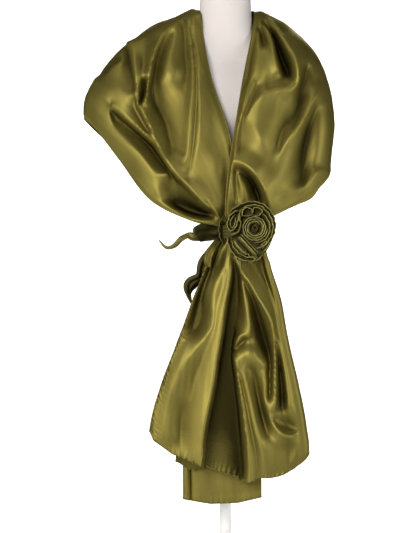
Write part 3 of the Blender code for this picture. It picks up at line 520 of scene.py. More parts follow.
def fold_relief(x, z, folds):
    """Lift of each point of a panel, spanned from crest to hollow, and how deep it lies: the amount
    of painted shade in hollows and of painted highlight on crests.
    """
    points, values = [], []
    for _, (softness,), path in named_lines(folds):
        fine = smooth(path, 60 * (len(path) - 1))
        points.append(fine[:, :2])
        values.append(np.column_stack([fine[:, 2], np.full(len(fine), softness)]))
    points, values = np.concatenate(points), np.concatenate(values)
    low = points.min(axis=0) - FOLD_MARGIN
    cells = np.ceil((points.max(axis=0) + FOLD_MARGIN - low) / FOLD_CELL).astype(int)
    field = stretched(points, values, low, tuple(cells))
    lift, softness = field[..., 0], np.clip(field[..., 1], 0, 1)
    sharp, soft = blurred(lift, FOLD_SHARP / FOLD_CELL), blurred(lift, FOLD_SOFT / FOLD_CELL)
    lift = sharp * (1 - softness) + soft * softness
    # How far a place lies below its surroundings: painted shade where this is high, painted
    # highlight where it is below nothing
    deep = blurred(lift, PAINTED_SHADE_REACH / FOLD_CELL) - lift + PAINTED_SHADE_LOW_SHARE * np.maximum(0, -lift - 3)
    both = np.stack([lift, deep], axis=2)
    i = np.clip((x - low[0]) / FOLD_CELL - 0.5, 0, cells[0] - 1.001)
    j = np.clip((z - low[1]) / FOLD_CELL - 0.5, 0, cells[1] - 1.001)
    a, b = i.astype(int), j.astype(int)
    f, g = (i - a)[..., None], (j - b)[..., None]
    near = both[a, b] * (1 - g) + both[a, b + 1] * g
    far = both[a + 1, b] * (1 - g) + both[a + 1, b + 1] * g
    return np.moveaxis(near * (1 - f) + far * f, -1, 0)


def placed(name, data):
    """A new object of the scene."""
    thing = bpy.data.objects.new(name, data)
    bpy.context.scene.collection.objects.link(thing)
    return thing


def smooth_piece(name, mesh, look):
    mesh.materials.append(look)
    mesh.shade_smooth()
    mesh.set_sharp_from_angle(angle=SHARP_EDGE)
    return placed(name, mesh)


def new_piece(name, points, faces, look, uv=None, hollow=None):
    """A closed piece from points in millimetres, smooth, with its map in metres."""
    mesh = bpy.data.meshes.new(name)
    mesh.from_pydata((np.asarray(points, float) * MM).tolist(), [], faces)
    # hollow: the attribute that paints shade and highlight into the satin's colour
    if hollow is not None:
        layer = mesh.attributes.new("hollow", "FLOAT", "POINT")
        layer.data.foreach_set("value", np.asarray(hollow, float).ravel())
    if uv is not None:
        layer = mesh.uv_layers.new(name="cloth")
        corner = np.zeros(len(mesh.loops), int)
        mesh.loops.foreach_get("vertex_index", corner)
        layer.data.foreach_set("uv", (np.asarray(uv, float) * MM)[corner].ravel())
    shape = bmesh.new()
    shape.from_mesh(mesh)
    bmesh.ops.recalc_face_normals(shape, faces=shape.faces)
    if shape.calc_volume(signed=True) < 0:
        bmesh.ops.reverse_faces(shape, faces=shape.faces)
    shape.to_mesh(mesh)
    shape.free()
    return smooth_piece(name, mesh, look)


def joined(name, parts, look):
    """Parts as one piece."""
    shape = bmesh.new()
    for part in parts:
        shape.from_mesh(part.data)
        bpy.data.objects.remove(part)
    mesh = bpy.data.meshes.new(name)
    shape.to_mesh(mesh)
    shape.free()
    return smooth_piece(name, mesh, look)


def cloth_from(name, grid, thick, look, hollow):
    """A thin cloth round a grid of middle points, rows by columns."""
    n = normals(grid)
    points = np.concatenate([(grid + n * s * thick / 2).reshape(-1, 3) for s in (1, -1)])
    down = np.linalg.norm(np.diff(grid, axis=0), axis=2).mean(axis=1)
    across = np.linalg.norm(np.diff(grid, axis=1), axis=2).mean(axis=0)
    v, u = np.append(0, np.cumsum(down)), np.append(0, np.cumsum(across))
    uv = np.stack(np.meshgrid(u, v), axis=2).reshape(-1, 2)
    other = len(uv)
    corner = np.arange(other).reshape(grid.shape[:2])
    quads = np.stack([corner[:-1, :-1], corner[:-1, 1:], corner[1:, 1:], corner[1:, :-1]], axis=2)
    quads = quads.reshape(-1, 4)
    rim = np.concatenate([corner[0], corner[1:, -1], corner[-1, -2::-1], corner[-2:0:-1, 0]])
    after = np.roll(rim, -1)
    edge = np.stack([after, rim, rim + other, after + other], axis=1)
    faces = np.concatenate([quads, quads[:, ::-1] + other, edge]).tolist()
    hollow = np.tile(hollow.ravel(), 2)
    return new_piece(name, points, faces, look, np.concatenate([uv, uv]), hollow)


def skin_from(name, rings, look, ends=True, hollow=None):
    """A tube through rings of equal point counts, closed at its ends or joined to itself."""
    count, sides = len(rings), len(rings[0])
    corner = np.arange(count * sides).reshape(count, sides)
    if not ends:
        corner = np.concatenate([corner, corner[:1]])
    beside = np.roll(corner, -1, axis=1)
    faces = np.stack([corner[:-1], beside[:-1], beside[1:], corner[1:]], axis=2)
    faces = faces.reshape(-1, 4).tolist()
    if ends:
        faces += [corner[0][::-1].tolist(), corner[-1].tolist()]
    return new_piece(name, np.concatenate(rings), faces, look, hollow=hollow)


def ring(half_width, half_depth, squareness, sides):
    """A rounded oblong, anticlockwise from +X."""
    turn = np.linspace(0, TURN, sides, endpoint=False)
    c, s = np.cos(turn), np.sin(turn)
    power = 2 / squareness
    x = half_width * np.sign(c) * np.abs(c) ** power
    y = half_depth * np.sign(s) * np.abs(s) ** power
    return np.stack([x, y], axis=1)


class Wire:
    """What comes out of a node. Each sum that it takes part in adds its Math node."""

    def __init__(self, graph, socket):
        self.graph, self.socket = graph, socket

    def maths(self, operation, *others):
        values = dict(enumerate([self, *others]))
        return self.graph.add("ShaderNodeMath", values, operation=operation)

    def __add__(self, other):
        return self.maths("ADD", other)

    def __sub__(self, other):
        return self.maths("SUBTRACT", other)

    def __mul__(self, other):
        return self.maths("MULTIPLY", other)

    __radd__, __rmul__ = __add__, __mul__


class Graph:
    """A tree of nodes that come from one method."""

    def __init__(self, tree):
        self.tree = tree

    def put(self, node, values):
        for key, value in values.items():
            place = node.inputs[key.replace("_", " ") if isinstance(key, str) else key]
            if isinstance(value, Wire):
                self.tree.links.new(value.socket, place)
            else:
                place.default_value = value

    def add(self, kind, values=None, output=0, **settings):
        node = self.tree.nodes.new(kind)
        for key, value in settings.items():
            setattr(node, key, value)
        self.put(node, values or {})
        return Wire(self, node.outputs[output])


class Finish(Graph):
    """A material and its nodes."""

    def __init__(self, name, **values):
        self.material = bpy.data.materials.new(name)
        self.material.use_nodes = True
        super().__init__(self.material.node_tree)
        self.shade(**values)

    def shade(self, **values):
        self.put(self.tree.nodes["Principled BSDF"], values)

    def solid(self):
        return self.add("ShaderNodeTexCoord", output="Object")

    def noise(self, where, scale, detail=2.0, rough=0.5):
        values = {"Vector": where, "Scale": scale, "Detail": detail, "Roughness": rough}
        return self.add("ShaderNodeTexNoise", values, "Fac")

    def colour(self, tone, *stops):
        """The base colour, from its stops along a tone."""
        wire = self.add("ShaderNodeValToRGB", {"Fac": tone}, "Color")
        elements = wire.socket.node.color_ramp.elements
        while len(elements) < len(stops):
            elements.new(0.5)
        for element, (place, colour) in zip(elements, stops):
            element.position, element.color = place, (*colour, 1.0)
        self.shade(Base_Color=wire)

    def bump(self, height, distance, strength):
        values = {"Height": height, "Distance": distance, "Strength": strength}
        self.shade(Normal=self.add("ShaderNodeBump", values))


def satin(name, light, deep):
    """Taffeta satin: threads across and along, slubs and a soft crinkle, and the painted shade and
    highlight that the 'hollow' attribute carries.
    """
    finish = Finish(name, Metallic=0.9, Specular_IOR_Level=0.3, Specular_Tint=SHEEN_TINT)
    across = finish.add("ShaderNodeUVMap", uv_map="cloth")
    threads = finish.add("ShaderNodeMapping", {"Vector": across, "Scale": THREAD_SCALE})
    slubs = finish.noise(threads, 1.0, 3.0)
    solid = finish.solid()
    cloudy = finish.noise(solid, 9.0, 3.0)
    # The 'hollow' attribute paints shade and highlight: it darkens the colour where it is high and
    # lightens it where it is below nothing
    hollow = finish.add("ShaderNodeAttribute", output="Fac", attribute_name="hollow")
    tone = slubs * 0.30 + cloudy * 0.40 + 0.23 - 0.54 * hollow
    # dark is painted shade, reached only where 'hollow' is high; bright is mostly painted
    # highlight, and a little random tone
    dark, bright = (tuple(k * c for c in base) for k, base in ((0.16, deep), (1.25, light)))
    finish.colour(tone, (0.05, dark), (0.46, deep), (0.62, light), (0.9, bright))
    finish.shade(Roughness=0.48 + 0.12 * cloudy)
    crinkle = finish.noise(solid, 130.0, 3.0, 0.55)
    finish.bump(0.2 * crinkle + 0.3 * slubs, 0.0006, 0.35)
    return finish.material


def form_cover():
    """A matt pale cover, with painted shade low in the V of the cloth."""
    finish = Finish("form_cover_matt", Metallic=0.0, Specular_IOR_Level=0.3)
    solid = finish.solid()
    cloudy = finish.noise(solid, 7.0, 4.0)
    height = finish.add("ShaderNodeSeparateXYZ", {"Vector": solid}, "Z")
    # Painted shade: the colour darkens below a height, low in the V under the wrap
    tone = cloudy + FORM_SHADE_RISE * (height - FORM_SHADE_BELOW).maths("MINIMUM", 0.0)
    finish.colour(tone, (0.0, FORM_PAINTED_SHADE), (0.35, FORM_WARM), (0.65, FORM_PALE))
    finish.shade(Roughness=0.62 + 0.12 * cloudy)
    finish.bump(finish.noise(solid, 900.0, 2.0), 0.0002, 0.4)
    return finish.material


def stand_paint():
    finish = Finish("stand_paint_satin", Metallic=0.1, Specular_IOR_Level=0.5)
    solid = finish.solid()
    wear = finish.noise(solid, 30.0, 5.0, 0.6)
    finish.colour(wear, (0.30, PAINT_WORN), (0.46, PAINT_LIGHT))
    finish.shade(Roughness=0.30 + 0.2 * wear)
    finish.bump(finish.noise(solid, 420.0, 2.0), 0.0001, 0.5)
    return finish.material


def stitch_thread():
    finish = Finish("hem_thread", Metallic=0.25, Roughness=0.5, Specular_IOR_Level=0.5)
    finish.colour(finish.noise(finish.solid(), 400.0), (0.3, THREAD_DARK), (0.7, THREAD_LIGHT))
    return finish.material


def form_piece(look):
    last = len(FORM_LEVELS) - 1
    low, middle = FORM_ROWS
    foot, top = np.linspace(0, 1, low)[:-1], last - np.arange(3, -1, -1) / 2
    at = np.concatenate([foot, np.linspace(1, last - 2, middle), top])
    rings = []
    for z, half_width, half_depth, centre in along_rows(FORM_LEVELS, at):
        plan = ring(half_width, half_depth, FORM_SQUARENESS, FORM_SIDES)
        rings.append(np.column_stack([plan + (0, centre), np.full(FORM_SIDES, z)]))
    return skin_from("bust_form_cover", rings, look)


def tree_of(piece):
    mesh = piece.data
    return BVHTree.FromPolygons(
        [v.co for v in mesh.vertices], [tuple(p.vertices) for p in mesh.polygons]
    )


def clear_of(grid, tree, clearance):
    """The grid with points nearer to a body than the clearance moved straight out from it."""
    out = grid.copy()
    for index in np.ndindex(grid.shape[:2]):
        here = Vector(grid[index] * MM)
        place, normal, _, far = tree.find_nearest(here, FORM_SEARCH)
        if place is None:
            continue
        away = far / MM if (here - place).dot(normal) > 0 else -far / MM
        if away < clearance:
            out[index] = np.array(place + normal * clearance * MM) / MM
    return out


def section_run(first, last, count):
    """Positions of a run of the wrap's rows, counted in sections."""
    fine = np.linspace(first, last, 200)
    rows = along_rows(WRAP_SECTIONS, fine)
    length = run_along((rows[:, :3] + rows[:, 3:6]) / 2)
    even = (fine - first) / (last - first)
    share = ROWS_BY_LENGTH * length / length[-1] + (1 - ROWS_BY_LENGTH) * even
    return np.interp(np.linspace(0, 1, count), share, fine)


def wrap_base(sections, shares):
    """The wrap without its folds."""
    rows = along_rows(WRAP_SECTIONS, sections)[:, None, :]
    t = np.asarray(shares)[None, :, None]
    top, low, roundness, swell = rows[..., 0:3], rows[..., 3:6], rows[..., 6:7], rows[..., 7:9]
    out = (1 - roundness) * t + roundness * np.sin(t * math.pi / 2)
    down = (1 - roundness) * t + roundness * (1 - np.cos(t * math.pi / 2))
    plan = top[..., :2] + (low - top)[..., :2] * out + swell * np.sin(t * math.pi)
    height = top[..., 2:] + (low - top)[..., 2:] * down
    return np.concatenate([plan, height], axis=2)


def gathers(s, t):
    """Uneven pleats that fan out from the knot, from -1 to 1, and fade away from it."""
    from_knot = np.minimum(s, len(WRAP_SECTIONS) - 1 - s)
    drift = 0.06 * np.sin(9 * t + 1.3 * from_knot) + 0.02 * np.sin(23 * t)
    fine = 0.15 * np.sin(TURN * 8 * (t + 0.5 * drift) + 0.8 * from_knot)
    reach = GATHER_REACH * (1 + 0.45 * np.sin(11 * t + 2) + 0.2 * np.sin(31 * t))
    return (pleated(t + drift, GATHER_PLEATS) + fine) * bell(from_knot, reach)


def wrap_piece(form_tree, look):
    ends = (0, LEFT_CREST, RIGHT_CREST, len(WRAP_SECTIONS) - 1)
    runs = [section_run(a, b, n)[1:] for a, b, n in zip(ends, ends[1:], WRAP_ROWS)]
    sections, shares = np.concatenate([[0], *runs]), np.linspace(0, 1, WRAP_COLUMNS)
    grid = wrap_base(sections, shares)
    n = normals(grid)
    n *= np.sign(n[..., 0] * grid[..., 0] + n[..., 1] * grid[..., 1])[..., None]
    s, t = np.meshgrid(sections, shares, indexing="ij")
    x, z = as_seen(grid)
    facing = np.abs(n[..., 1])
    edge = both_edges(t, 0.05, 0.04)
    lift = WRAP_GATHER_LIFT * gathers(s, t) * step(0.05, 0.5, t) * step(0, 0.1, 1 - t)
    along = run_along(wrap_base(sections, [0.5])[:, 0])[:, None]
    width = np.linalg.norm(grid[:, -1] - grid[:, 0], axis=1)[:, None] / WRAP_WIDTH
    rim = edge * step(0.05, 0.6, width)
    lift += rim * ripples(WRAP_WIDTH * t, along, WRAP_BROAD)
    lift += rim * step(0.45, 0.9, width) * ripples(WRAP_WIDTH * t, along, WRAP_FINE)
    # hollow: painted shade in the folds' hollows and painted highlight on their crests
    hollow = np.zeros_like(lift)
    # The front's folds and the back's fade where they meet over the shoulders
    meet = step(0, 0.55, np.minimum(np.abs(s - LEFT_CREST), np.abs(s - RIGHT_CREST)))
    for where, px, pz, folds in (
        (s < LEFT_CREST, x, z, LEFT_FOLDS),
        ((s >= LEFT_CREST) & (s <= RIGHT_CREST), grid[..., 0], grid[..., 2], BACK_FOLDS),
        (s > RIGHT_CREST, x, z, RIGHT_FOLDS),
    ):
        rise, deep = fold_relief(px, pz, folds)
        lift += np.where(where, WRAP_FOLD_LIFT * rise * step(0, 0.15, facing) * meet * edge, 0)
        hollow += np.where(where, deep * step(0, 0.12, facing) * meet / PAINTED_SHADE_DEEP, 0)
    # Where the cloth faces the viewer, it lifts straight ahead and keeps its place as seen
    ahead = np.sign(n[..., 1:2]) * np.array([0.0, 1.0, 0.0])
    towards = step(0.3, 0.8, facing)[..., None]
    grid = grid + (n * (1 - towards) + ahead * towards) * lift[..., None]
    grid = clear_of(grid, form_tree, FORM_CLEARANCE + SATIN_THICK / 2)
    return cloth_from("stole_wrap", grid, SATIN_THICK, look, hollow), grid


def puckers(along, inward):
    """The little uneven waves that a whipped hem pulls into its edge."""
    drift = along + 2.4 * np.sin(along / 23.0) + 1.5 * np.sin(along / 9.7 + 1)
    wave = np.sin(TURN * drift / PUCKER_PITCH) * (1 + 0.5 * np.sin(along / 17.0 + 2))
    wave += 0.6 * np.sin(TURN * drift / (PUCKER_PITCH * 0.57) + 1.0)
    return PUCKER_DEPTH * wave * np.exp(-np.maximum(inward, 0) / PUCKER_REACH)


def tail_piece(look):
    behind = FRONT_SHARE + FOLD_SHARE
    ends = (0, FRONT_SHARE, behind, 1)
    parts = [np.linspace(a, b, n)[1:] for a, b, n in zip(ends, ends[1:], TAIL_COLUMNS)]
    u, v = np.concatenate([[0], *parts]), np.linspace(0, 1, TAIL_ROWS)[:, None]
    hem = np.asarray(TAIL_HEM, float)
    hem_z = along_rows(hem[:, 1:], np.interp(u, hem[:, 0], np.arange(len(hem))))[:, 0]
    top = TAIL_LEVELS[0][0]
    z = top + (hem_z - top) * v
    rows = at_levels(TAIL_LEVELS, z.ravel()).reshape(*z.shape, -1)
    left, right, back_left, front_y, depth = (rows[..., k] for k in range(1, 6))
    u = np.broadcast_to(u, z.shape)
    across = np.clip(u / FRONT_SHARE, 0, 1)
    turn = np.clip((u - FRONT_SHARE) / FOLD_SHARE, 0, 1) * math.pi
    back = np.clip((u - behind) / (1 - behind), 0, 1)
    x = left + (right - left) * across + depth / 2 * np.sin(turn) - (right - back_left) * back
    y = front_y + depth / 2 * (1 - np.cos(turn))
    fall = step(0.0, 0.35, v)
    y = y - TAIL_BELLY * fall * np.sin(math.pi * across) ** 2 * (back == 0)
    y = y + TAIL_BACK_WAVE * fall * np.sin(9 * back) * step(0, 0.1, back)
    grid = np.stack([x, y, z], axis=2)
    pleats = pleated(across + 0.05 * np.sin(9 * across + 3 * v), TAIL_PLEATS)
    gather = TAIL_GATHER_LIFT * bell(v, TAIL_GATHER_REACH * (1 + 0.5 * np.sin(13 * across)))
    sx, sz = as_seen(grid)
    rise, deep = fold_relief(sx, sz, TAIL_FOLDS)
    slant = sx + TAIL_SLANT * sz * (across - 0.5)
    rise = TAIL_FOLD_LIFT * rise + ripples(slant, sz, TAIL_BROAD) + ripples(slant, sz, TAIL_FINE)
    rise *= both_edges(across, 0.1, 0.08) * step(0.02, 0.1, v)
    # The front layer sinks no further than the one behind it lets it
    room = np.maximum(depth - TAIL_ROOM_KEPT, 1)
    rise = np.where(rise < 0, -room * np.tanh(-rise / room), rise)
    grid[..., 1] -= gather * pleats * both_edges(across, 0.08, 0.08) + rise
    side_run, hem_run = run_along(grid[:, 0])[:, None], run_along(grid[-1])
    grid[..., 1] += puckers(side_run, x - left) * step(0.06, 0.2, v) * (back == 0)
    grid[..., 1] += puckers(hem_run, z - hem_z)
    # Painted shade in the front layer's hollows and painted highlight on its crests; the layer
    # folded behind is painted darker all over, as shade
    deep = deep * both_edges(across, 0.04, 0.02) * step(0.0, 0.06, v)
    hollow = np.where(turn < math.pi / 2, 1.2 * np.tanh(1.1 * deep / PAINTED_SHADE_DEEP), 0.5)
    return cloth_from("stole_tail_front", grid, SATIN_THICK, look, hollow), grid


def back_tail_piece(look):
    top, columns = BACK_TAIL_LEVELS[0][0], BACK_TAIL_COLUMNS
    turn, share = np.linspace(0, math.pi, 12)[1:-1], np.linspace(0, 1, columns)
    forward = np.concatenate([np.ones(columns), np.cos(turn), -np.ones(columns)])
    downs = np.linspace(0, 1, BACK_TAIL_ROWS)
    rows = []
    for down in downs:
        level = top + (BACK_TAIL_HEM[1][1] - top) * down
        _, left, right, y, depth = at_levels(BACK_TAIL_LEVELS, [level])[0]
        fold = left + depth / 2
        front = right + (fold - right) * share
        back = fold + (right - BACK_TAIL_STEP - fold) * share
        x = np.concatenate([front, fold - depth / 2 * np.sin(turn), back])
        hem = np.interp((x - left) / (right - left), *np.transpose(BACK_TAIL_HEM))
        rows.append(np.stack([x, y - depth / 2 * forward, top + (hem - top) * down], axis=1))
    grid = np.array(rows)
    x, z = grid[..., 0], grid[..., 2]
    uneven = ripples(x, z, BACK_TAIL_BROAD) + ripples(x, z, BACK_TAIL_FINE)
    grid[..., 1] += step(0.05, 0.3, downs)[:, None] * uneven
    grid[..., 1] += 0.7 * puckers(run_along(grid[-1]), z - z[-1])
    # A narrow fold along its left edge
    from_fold = x - x.min(axis=1, keepdims=True)
    strip = 2.6 * bell(from_fold - 8, 4) - 3.6 * bell(from_fold - 15, 2.6)
    grid[..., 1] -= strip * (np.arange(grid.shape[1]) < columns)
    # Painted highlight along the narrow fold's crest and painted shade in its crease
    return cloth_from("stole_tail_back", grid, SATIN_THICK, look, -0.15 * strip), grid


def hem_tree():
    """Geometry nodes for a rolled hem: a bead that swells between its slanted stitches."""
    tree = bpy.data.node_groups.new("rolled_hem", "GeometryNodeTree")
    sides, add = tree.interface, Graph(tree).add
    for name, kind in HEM_INPUTS.items():
        sides.new_socket(name, in_out="INPUT", socket_type="NodeSocket" + kind)
    sides.new_socket("Hem", in_out="OUTPUT", socket_type="NodeSocketGeometry")
    given = add("NodeGroupInput")
    outputs = given.socket.node.outputs[: len(HEM_INPUTS)]
    line, radius, pitch, length, cloth, thread = (Wire(given.graph, out) for out in outputs)
    line = add("GeometryNodeMeshToCurve", {0: line})
    fine = add("GeometryNodeResampleCurve", {"Curve": line, "Length": 1.4 * MM}, mode="LENGTH")
    turns = add("GeometryNodeSplineParameter", output="Length").maths("DIVIDE", pitch)
    swell = (turns * TURN).maths("SINE").maths("MULTIPLY_ADD", HEM_SWELL, 1.0)
    fine = add("GeometryNodeSetCurveRadius", {"Curve": fine, "Radius": swell})
    profile = add("GeometryNodeCurvePrimitiveCircle", {"Resolution": 8, "Radius": radius})
    values = {"Curve": fine, "Profile Curve": profile, "Fill Caps": True, "Scale": swell}
    bead = add("GeometryNodeCurveToMesh", values)
    bead = add("GeometryNodeSetMaterial", {"Geometry": bead, "Material": cloth})

    spaced = add("GeometryNodeResampleCurve", {"Curve": line, "Length": pitch}, mode="LENGTH")
    capsule = add("GeometryNodeMeshUVSphere", {"Segments": 6, "Rings": 4, "Radius": 1.0})
    thin = length * STITCH_SLENDER
    size = add("ShaderNodeCombineXYZ", {0: thin, 1: thin, 2: length * 0.5})
    tangent = add("GeometryNodeInputTangent")
    slanted = add("ShaderNodeVectorMath", {0: tangent, 1: STITCH_SLANT}, operation="ADD")
    aligned = add("FunctionNodeAlignRotationToVector", {"Vector": slanted}, axis="Z")
    values = {"Points": spaced, "Instance": capsule, "Rotation": aligned, "Scale": size}
    stitches = add("GeometryNodeInstanceOnPoints", values)
    forward = add("ShaderNodeCombineXYZ", {1: radius * STITCH_FORWARD})
    values = {"Instances": stitches, "Translation": forward, "Local Space": False}
    stitches = add("GeometryNodeTranslateInstances", values)
    stitches = add("GeometryNodeRealizeInstances", {0: stitches})
    stitches = add("GeometryNodeSetMaterial", {"Geometry": stitches, "Material": thread})
    both = add("GeometryNodeJoinGeometry", {0: bead})
    tree.links.new(stitches.socket, both.socket.node.inputs[0])
    whole = add("GeometryNodeRealizeInstances", {0: both})
    tree.links.new(whole.socket, tree.nodes.new("NodeGroupOutput").inputs[0])
    return tree


def hem_piece(name, tree, line, cloth, thread, pitch=HEM_STITCH_PITCH):
    """A rolled hem along a line of points in millimetres, as a plain mesh."""
    mesh = bpy.data.meshes.new(name + "_line")
    edges = [(k, k + 1) for k in range(len(line) - 1)]
    mesh.from_pydata((np.asarray(line) * MM).tolist(), edges, [])
    source = placed(name + "_line", mesh)
    modifier = source.modifiers.new("hem", "NODES")
    modifier.node_group = tree
    sockets = {item.name: item.identifier for item in tree.interface.items_tree}
    values = HEM_RADIUS * MM, pitch * MM, HEM_STITCH_LENGTH * MM, cloth, thread
    for key, value in zip(list(HEM_INPUTS)[1:], values):
        modifier[sockets[key]] = value
    graph = bpy.context.evaluated_depsgraph_get()
    plain = bpy.data.meshes.new_from_object(source.evaluated_get(graph))
    plain.name = name
    plain.shade_smooth()
    bpy.data.objects.remove(source)
    return placed(name, plain)


def strip_rings(line, depth, set_back, flare, ruffle, seed, bow=STRIP_BOW):
    """Sections of a doubled strip that stands on its line, its folded edge to the front, with its
    painted shade and highlight.
    """
    length = run_along(line)
    run = np.gradient(line, axis=0)
    run /= np.linalg.norm(run, axis=1, keepdims=True)
    across = np.stack([run[:, 1], -run[:, 0]], axis=1)
    root = ROSE_BACK_Y - BACKING_THICK - SEAM_GAP + set_back
    half = STRIP_THICK / 2
    rise = (depth - half) * np.linspace(0, 1, STRIP_POINTS) ** 0.6
    bend, straight = np.linspace(0, math.pi, BEND_POINTS)[1:-1], np.full(STRIP_POINTS, half)
    side = np.concatenate([straight, half * np.cos(bend), -straight])
    up = np.concatenate([rise, depth - half + half * np.sin(bend), rise[::-1]])
    share = up / depth
    phase = np.random.default_rng(seed).uniform(0, 6, 4)
    wave = np.sin(length / 2.6 + phase[0]) + 0.6 * np.sin(length / 1.5 + phase[1])
    crown = 0.9 * np.sin(length / 9.0 + phase[2]) + 0.5 * np.sin(length / 3.6 + phase[3])
    ease = step(0, STRIP_EASE, length) * step(0, STRIP_EASE, length[-1] - length)
    rings = []
    for k, place in enumerate(line):
        off = side + flare * (share**bow - 1) + ruffle * wave[k] * share**2 * ease[k]
        lift = up * (0.82 + 0.18 * ease[k]) + crown[k] * share
        plan = place + off[:, None] * across[k]
        rings.append(np.stack([plan[:, 0], root - lift, plan[:, 1]], axis=1))
    # Painted shade deeper towards the strip's root and on shallow strips, and painted highlight
    # along its folded front edge
    hollow = 0.6 - 0.75 * share**1.5 + max(0.0, 20 - depth) / 12
    return rings, np.tile(hollow, len(line))


def rose_piece(look):
    """The bias strip that the rose is wound and folded from, as one piece."""
    parts = []
    for number, (name, turns, inner, outer, depth, flare) in enumerate(WOUND_STRIPS):
        turn = np.linspace(WOUND_START, WOUND_START + turns * 2 * math.pi, int(turns * WOUND_STEPS))
        radius = np.linspace(inner, outer, len(turn))
        line = np.stack([HEART_X + radius * np.cos(turn), HEART_Z + radius * np.sin(turn)], axis=1)
        rings, hollow = strip_rings(line, depth, 0, flare, WOUND_RUFFLE, 40 + number, WOUND_BOW)
        parts.append(skin_from(name, rings, look, hollow=hollow))
    for number, (name, shape, points) in enumerate(named_lines(ROSE_STRIPS)):
        rough = smooth(points, 12 * len(points))
        run = run_along(rough)
        at = np.linspace(0, run[-1], int(run[-1] / STRIP_STEP))
        line = np.stack([np.interp(at, run, rough[:, k]) for k in (0, 1)], axis=1)
        rings, hollow = strip_rings(line, *shape, 50 + number)
        parts.append(skin_from(name, rings, look, hollow=hollow))
    return joined("rose_strip", parts, look)


def band_piece(look):
    """The strap round the gathers, pleated along its length and painted darker all over as shade.
    """
    turn = np.linspace(0, TURN, BAND_SIDES, endpoint=False)
    outer, inner = [], []
    for level in np.linspace(-0.5, 0.5, BAND_LEVELS):
        pleat = 1 + (0.55 * math.cos(TURN * BAND_PLEATS * level) - 0.4) * BAND_PLEAT_SHARE
        sway = 0.5 * np.sin(5 * turn + 7 * level) + 0.3 * np.sin(11 * turn)
        z = KNOT_Z + level * BAND_HEIGHT + BAND_SWAY * sway
        for into, take, swell in ((outer, BAND_OUTSIDE, pleat), (inner, BAND_INSIDE, 1)):
            sizes = BAND_HALF_WIDTH - take, BAND_HALF_DEPTH - take
            plan = ring(*sizes, BAND_SQUARENESS, BAND_SIDES)
            into.append(np.column_stack([plan * swell + (KNOT_X, KNOT_Y), z]))
    # Painted shade: the whole strap is painted darker
    hollow = np.full(2 * BAND_LEVELS * BAND_SIDES, BAND_PAINTED_SHADE)
    return skin_from("rose_band_strap", outer + inner[::-1], look, ends=False, hollow=hollow)


def ribbon_piece(name, rows, look, shaded):
    """A tapering end of cloth along a table's rows, hollowed across, painted darker as shade all
    along, most over a length from its root and least at its edges.
    """
    points = smooth(rows, RIBBON_COLUMNS * len(rows))
    run = np.gradient(points[:, :3], axis=0)
    run /= np.linalg.norm(run, axis=1, keepdims=True)
    lean = np.radians(points[:, 4, None])
    side = np.cross(run, (0, 1, 0))
    side /= np.linalg.norm(side, axis=1, keepdims=True)
    across = side * np.cos(lean) + np.cross(run, side) * np.sin(lean)
    out = np.cross(run, across)
    reach = np.linspace(-0.5, 0.5, RIBBON_COLUMNS)
    bent = np.cos(TURN * reach) * 0.5 + 0.25 * np.sin(5 * math.pi * reach)
    length = run_along(points[:, :3])[:, None]
    relief = points[:, 5, None] * bent + 0.7 * np.sin(length / 5.0) * np.sin(7 * reach)
    grid = points[:, None, :3] + across[:, None] * (points[:, 3, None] * reach)[..., None]
    grid = grid + out[:, None] * relief[..., None]
    # Painted shade: darker all along, most over the length in the band's shade and least at the
    # edges
    shade = step(shaded + SHADE_FADE, shaded - SHADE_FADE, length)
    hollow = 0.8 * shade + 0.35 - 1.6 * np.abs(reach) ** 2.5
    return cloth_from(name, grid, RIBBON_THICK, look, hollow)


def area_light(name, place, size, power, colour):
    light = bpy.data.lights.new(name, "AREA")
    light.shape, light.size, light.size_y = "RECTANGLE", *size
    light.energy, light.color = power, colour
    lamp = placed(name, light)
    lamp.location = place
    lamp.rotation_euler = (Vector(LIT_PLACE) - Vector(place)).to_track_quat("-Z", "Y").to_euler()


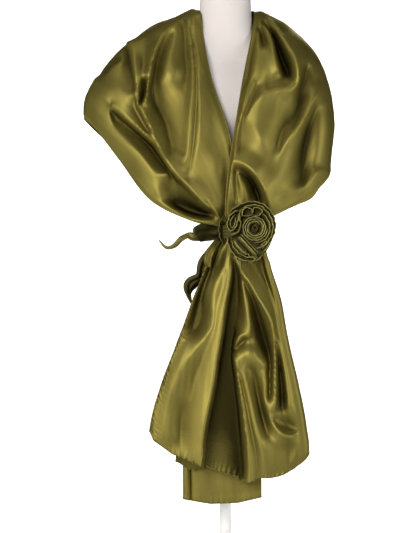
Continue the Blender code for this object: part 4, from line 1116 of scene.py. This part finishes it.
def studio():
    """A pale floor that curves up into a backdrop, soft lights and the camera."""
    far, curve = PAPER_FLOOR[-1][0], PAPER_CURVE
    angles = np.radians(range(10, 91, 10))
    bend = [(far + curve * math.sin(a), curve - curve * math.cos(a)) for a in angles]
    profile = [*PAPER_FLOOR, *bend, (far + curve, PAPER_TOP)]
    wide, narrow = PAPER_HALF_WIDTHS
    halves = [wide, wide] + [narrow] * (len(profile) - 2)
    rows = [(half, y, z - PAPER_DROP) for (y, z), half in zip(profile, halves)]
    points = [(side * half, y, z) for half, y, z in rows for side in (-1, 1)]
    faces = [(2 * k, 2 * k + 1, 2 * k + 3, 2 * k + 2) for k in range(len(profile) - 1)]
    mesh = bpy.data.meshes.new("floor_and_backdrop")
    mesh.from_pydata(points, [], faces)
    mesh.shade_smooth()
    for name, glow in PAPERS:
        paper = Finish(name, Base_Color=(0.85, 0.85, 0.85, 1), Roughness=0.9)
        paper.shade(Emission_Color=(1, 1, 1, 1), Emission_Strength=glow)
        mesh.materials.append(paper.material)
    for face in mesh.polygons[1:]:
        face.material_index = 1
    backdrop = placed("floor_and_backdrop", mesh)

    for light in LIGHTS:
        area_light(*light)
    world = bpy.data.worlds.new("studio_air")
    world.use_nodes = True
    air = world.node_tree.nodes["Background"]
    air.inputs["Color"].default_value = (1, 1, 1, 1)
    air.inputs["Strength"].default_value = WORLD_LIGHT
    bpy.context.scene.world = world
    bpy.context.scene.view_settings.view_transform = "Standard"

    camera = bpy.data.cameras.new("photo_camera")
    camera.sensor_fit = "VERTICAL"
    half = PHOTO_PIXELS_HIGH * SEEN_MM_PER_PIXEL / 2
    camera.angle = 2 * math.atan(half / (CAMERA_DISTANCE + SEEN_Y))
    eye = placed("photo_camera", camera)
    eye.location = (CAMERA_X * MM, -CAMERA_DISTANCE * MM, CAMERA_Z * MM)
    eye.rotation_euler = (math.pi / 2, 0, 0)
    bpy.context.scene.camera = eye


def main():
    studio()
    cloth = satin("stole_satin_cloth", SATIN_LIGHT, SATIN_DEEP)
    rose_cloth = satin("rose_satin", ROSE_LIGHT, ROSE_DEEP)
    thread, paint = stitch_thread(), stand_paint()
    for node in ("stand_base", "stand_foot_collar", "stand_pole", "stand_socket"):
        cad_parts[node].material_slots[0].material = paint
    # Painted shade: the backing behind the rose's strips is made far darker than the satin
    lining = satin("rose_backing_painted_shade", BACKING_SHADE_LIGHT, BACKING_SHADE_DEEP)
    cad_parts["rose_backing"].material_slots[0].material = lining

    form = form_piece(form_cover())
    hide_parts("bust_form")
    wrap, wrap_grid = wrap_piece(tree_of(form), cloth)
    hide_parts("wrap_left_front", "wrap_back", "wrap_right_front")
    tail, tail_grid = tail_piece(cloth)
    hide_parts("tail_front")
    back_tail, back_grid = back_tail_piece(cloth)
    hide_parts("tail_back")
    rose = rose_piece(rose_cloth)
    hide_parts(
        *("rose_heart", "rose_petal_inner", "rose_petal_right", "rose_petal_outer"),
        *("rose_petal_left", "rose_petal_low", "rose_petal_tuck", "rose_petal_side"),
        *("rose_fold_upper", "rose_fold_lower"),
    )
    band = band_piece(rose_cloth)
    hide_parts("rose_band")
    upper_tie = ribbon_piece("tie_end_upper_cloth", TIE_UPPER, rose_cloth, TIE_UPPER_SHADED)
    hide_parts("tie_end_upper")
    lower_tie = ribbon_piece("tie_end_lower_cloth", TIE_LOWER, rose_cloth, TIE_LOWER_SHADED)
    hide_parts("tie_end_lower")
    leaf = ribbon_piece("rose_leaf_cloth", LEAF, cloth, LEAF_SHADED)
    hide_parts("rose_leaf")

    tree = hem_tree()
    neck_edge = wrap_grid[NECK_HEM_FREE:-NECK_HEM_FREE, 0]
    hems = [
        hem_piece("wrap_neck_hem", tree, neck_edge, cloth, thread, NECK_STITCH_PITCH),
        hem_piece("tail_side_hem", tree, tail_grid[SIDE_HEM_FREE:, 0], cloth, thread),
        hem_piece("tail_low_hem", tree, tail_grid[-1], cloth, thread),
        hem_piece("back_tail_hem", tree, back_grid[-1], cloth, thread),
    ]
    for piece in (form, wrap, tail, back_tail, rose, band, upper_tie, lower_tie, leaf, *hems):
        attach(piece, "root")


main()
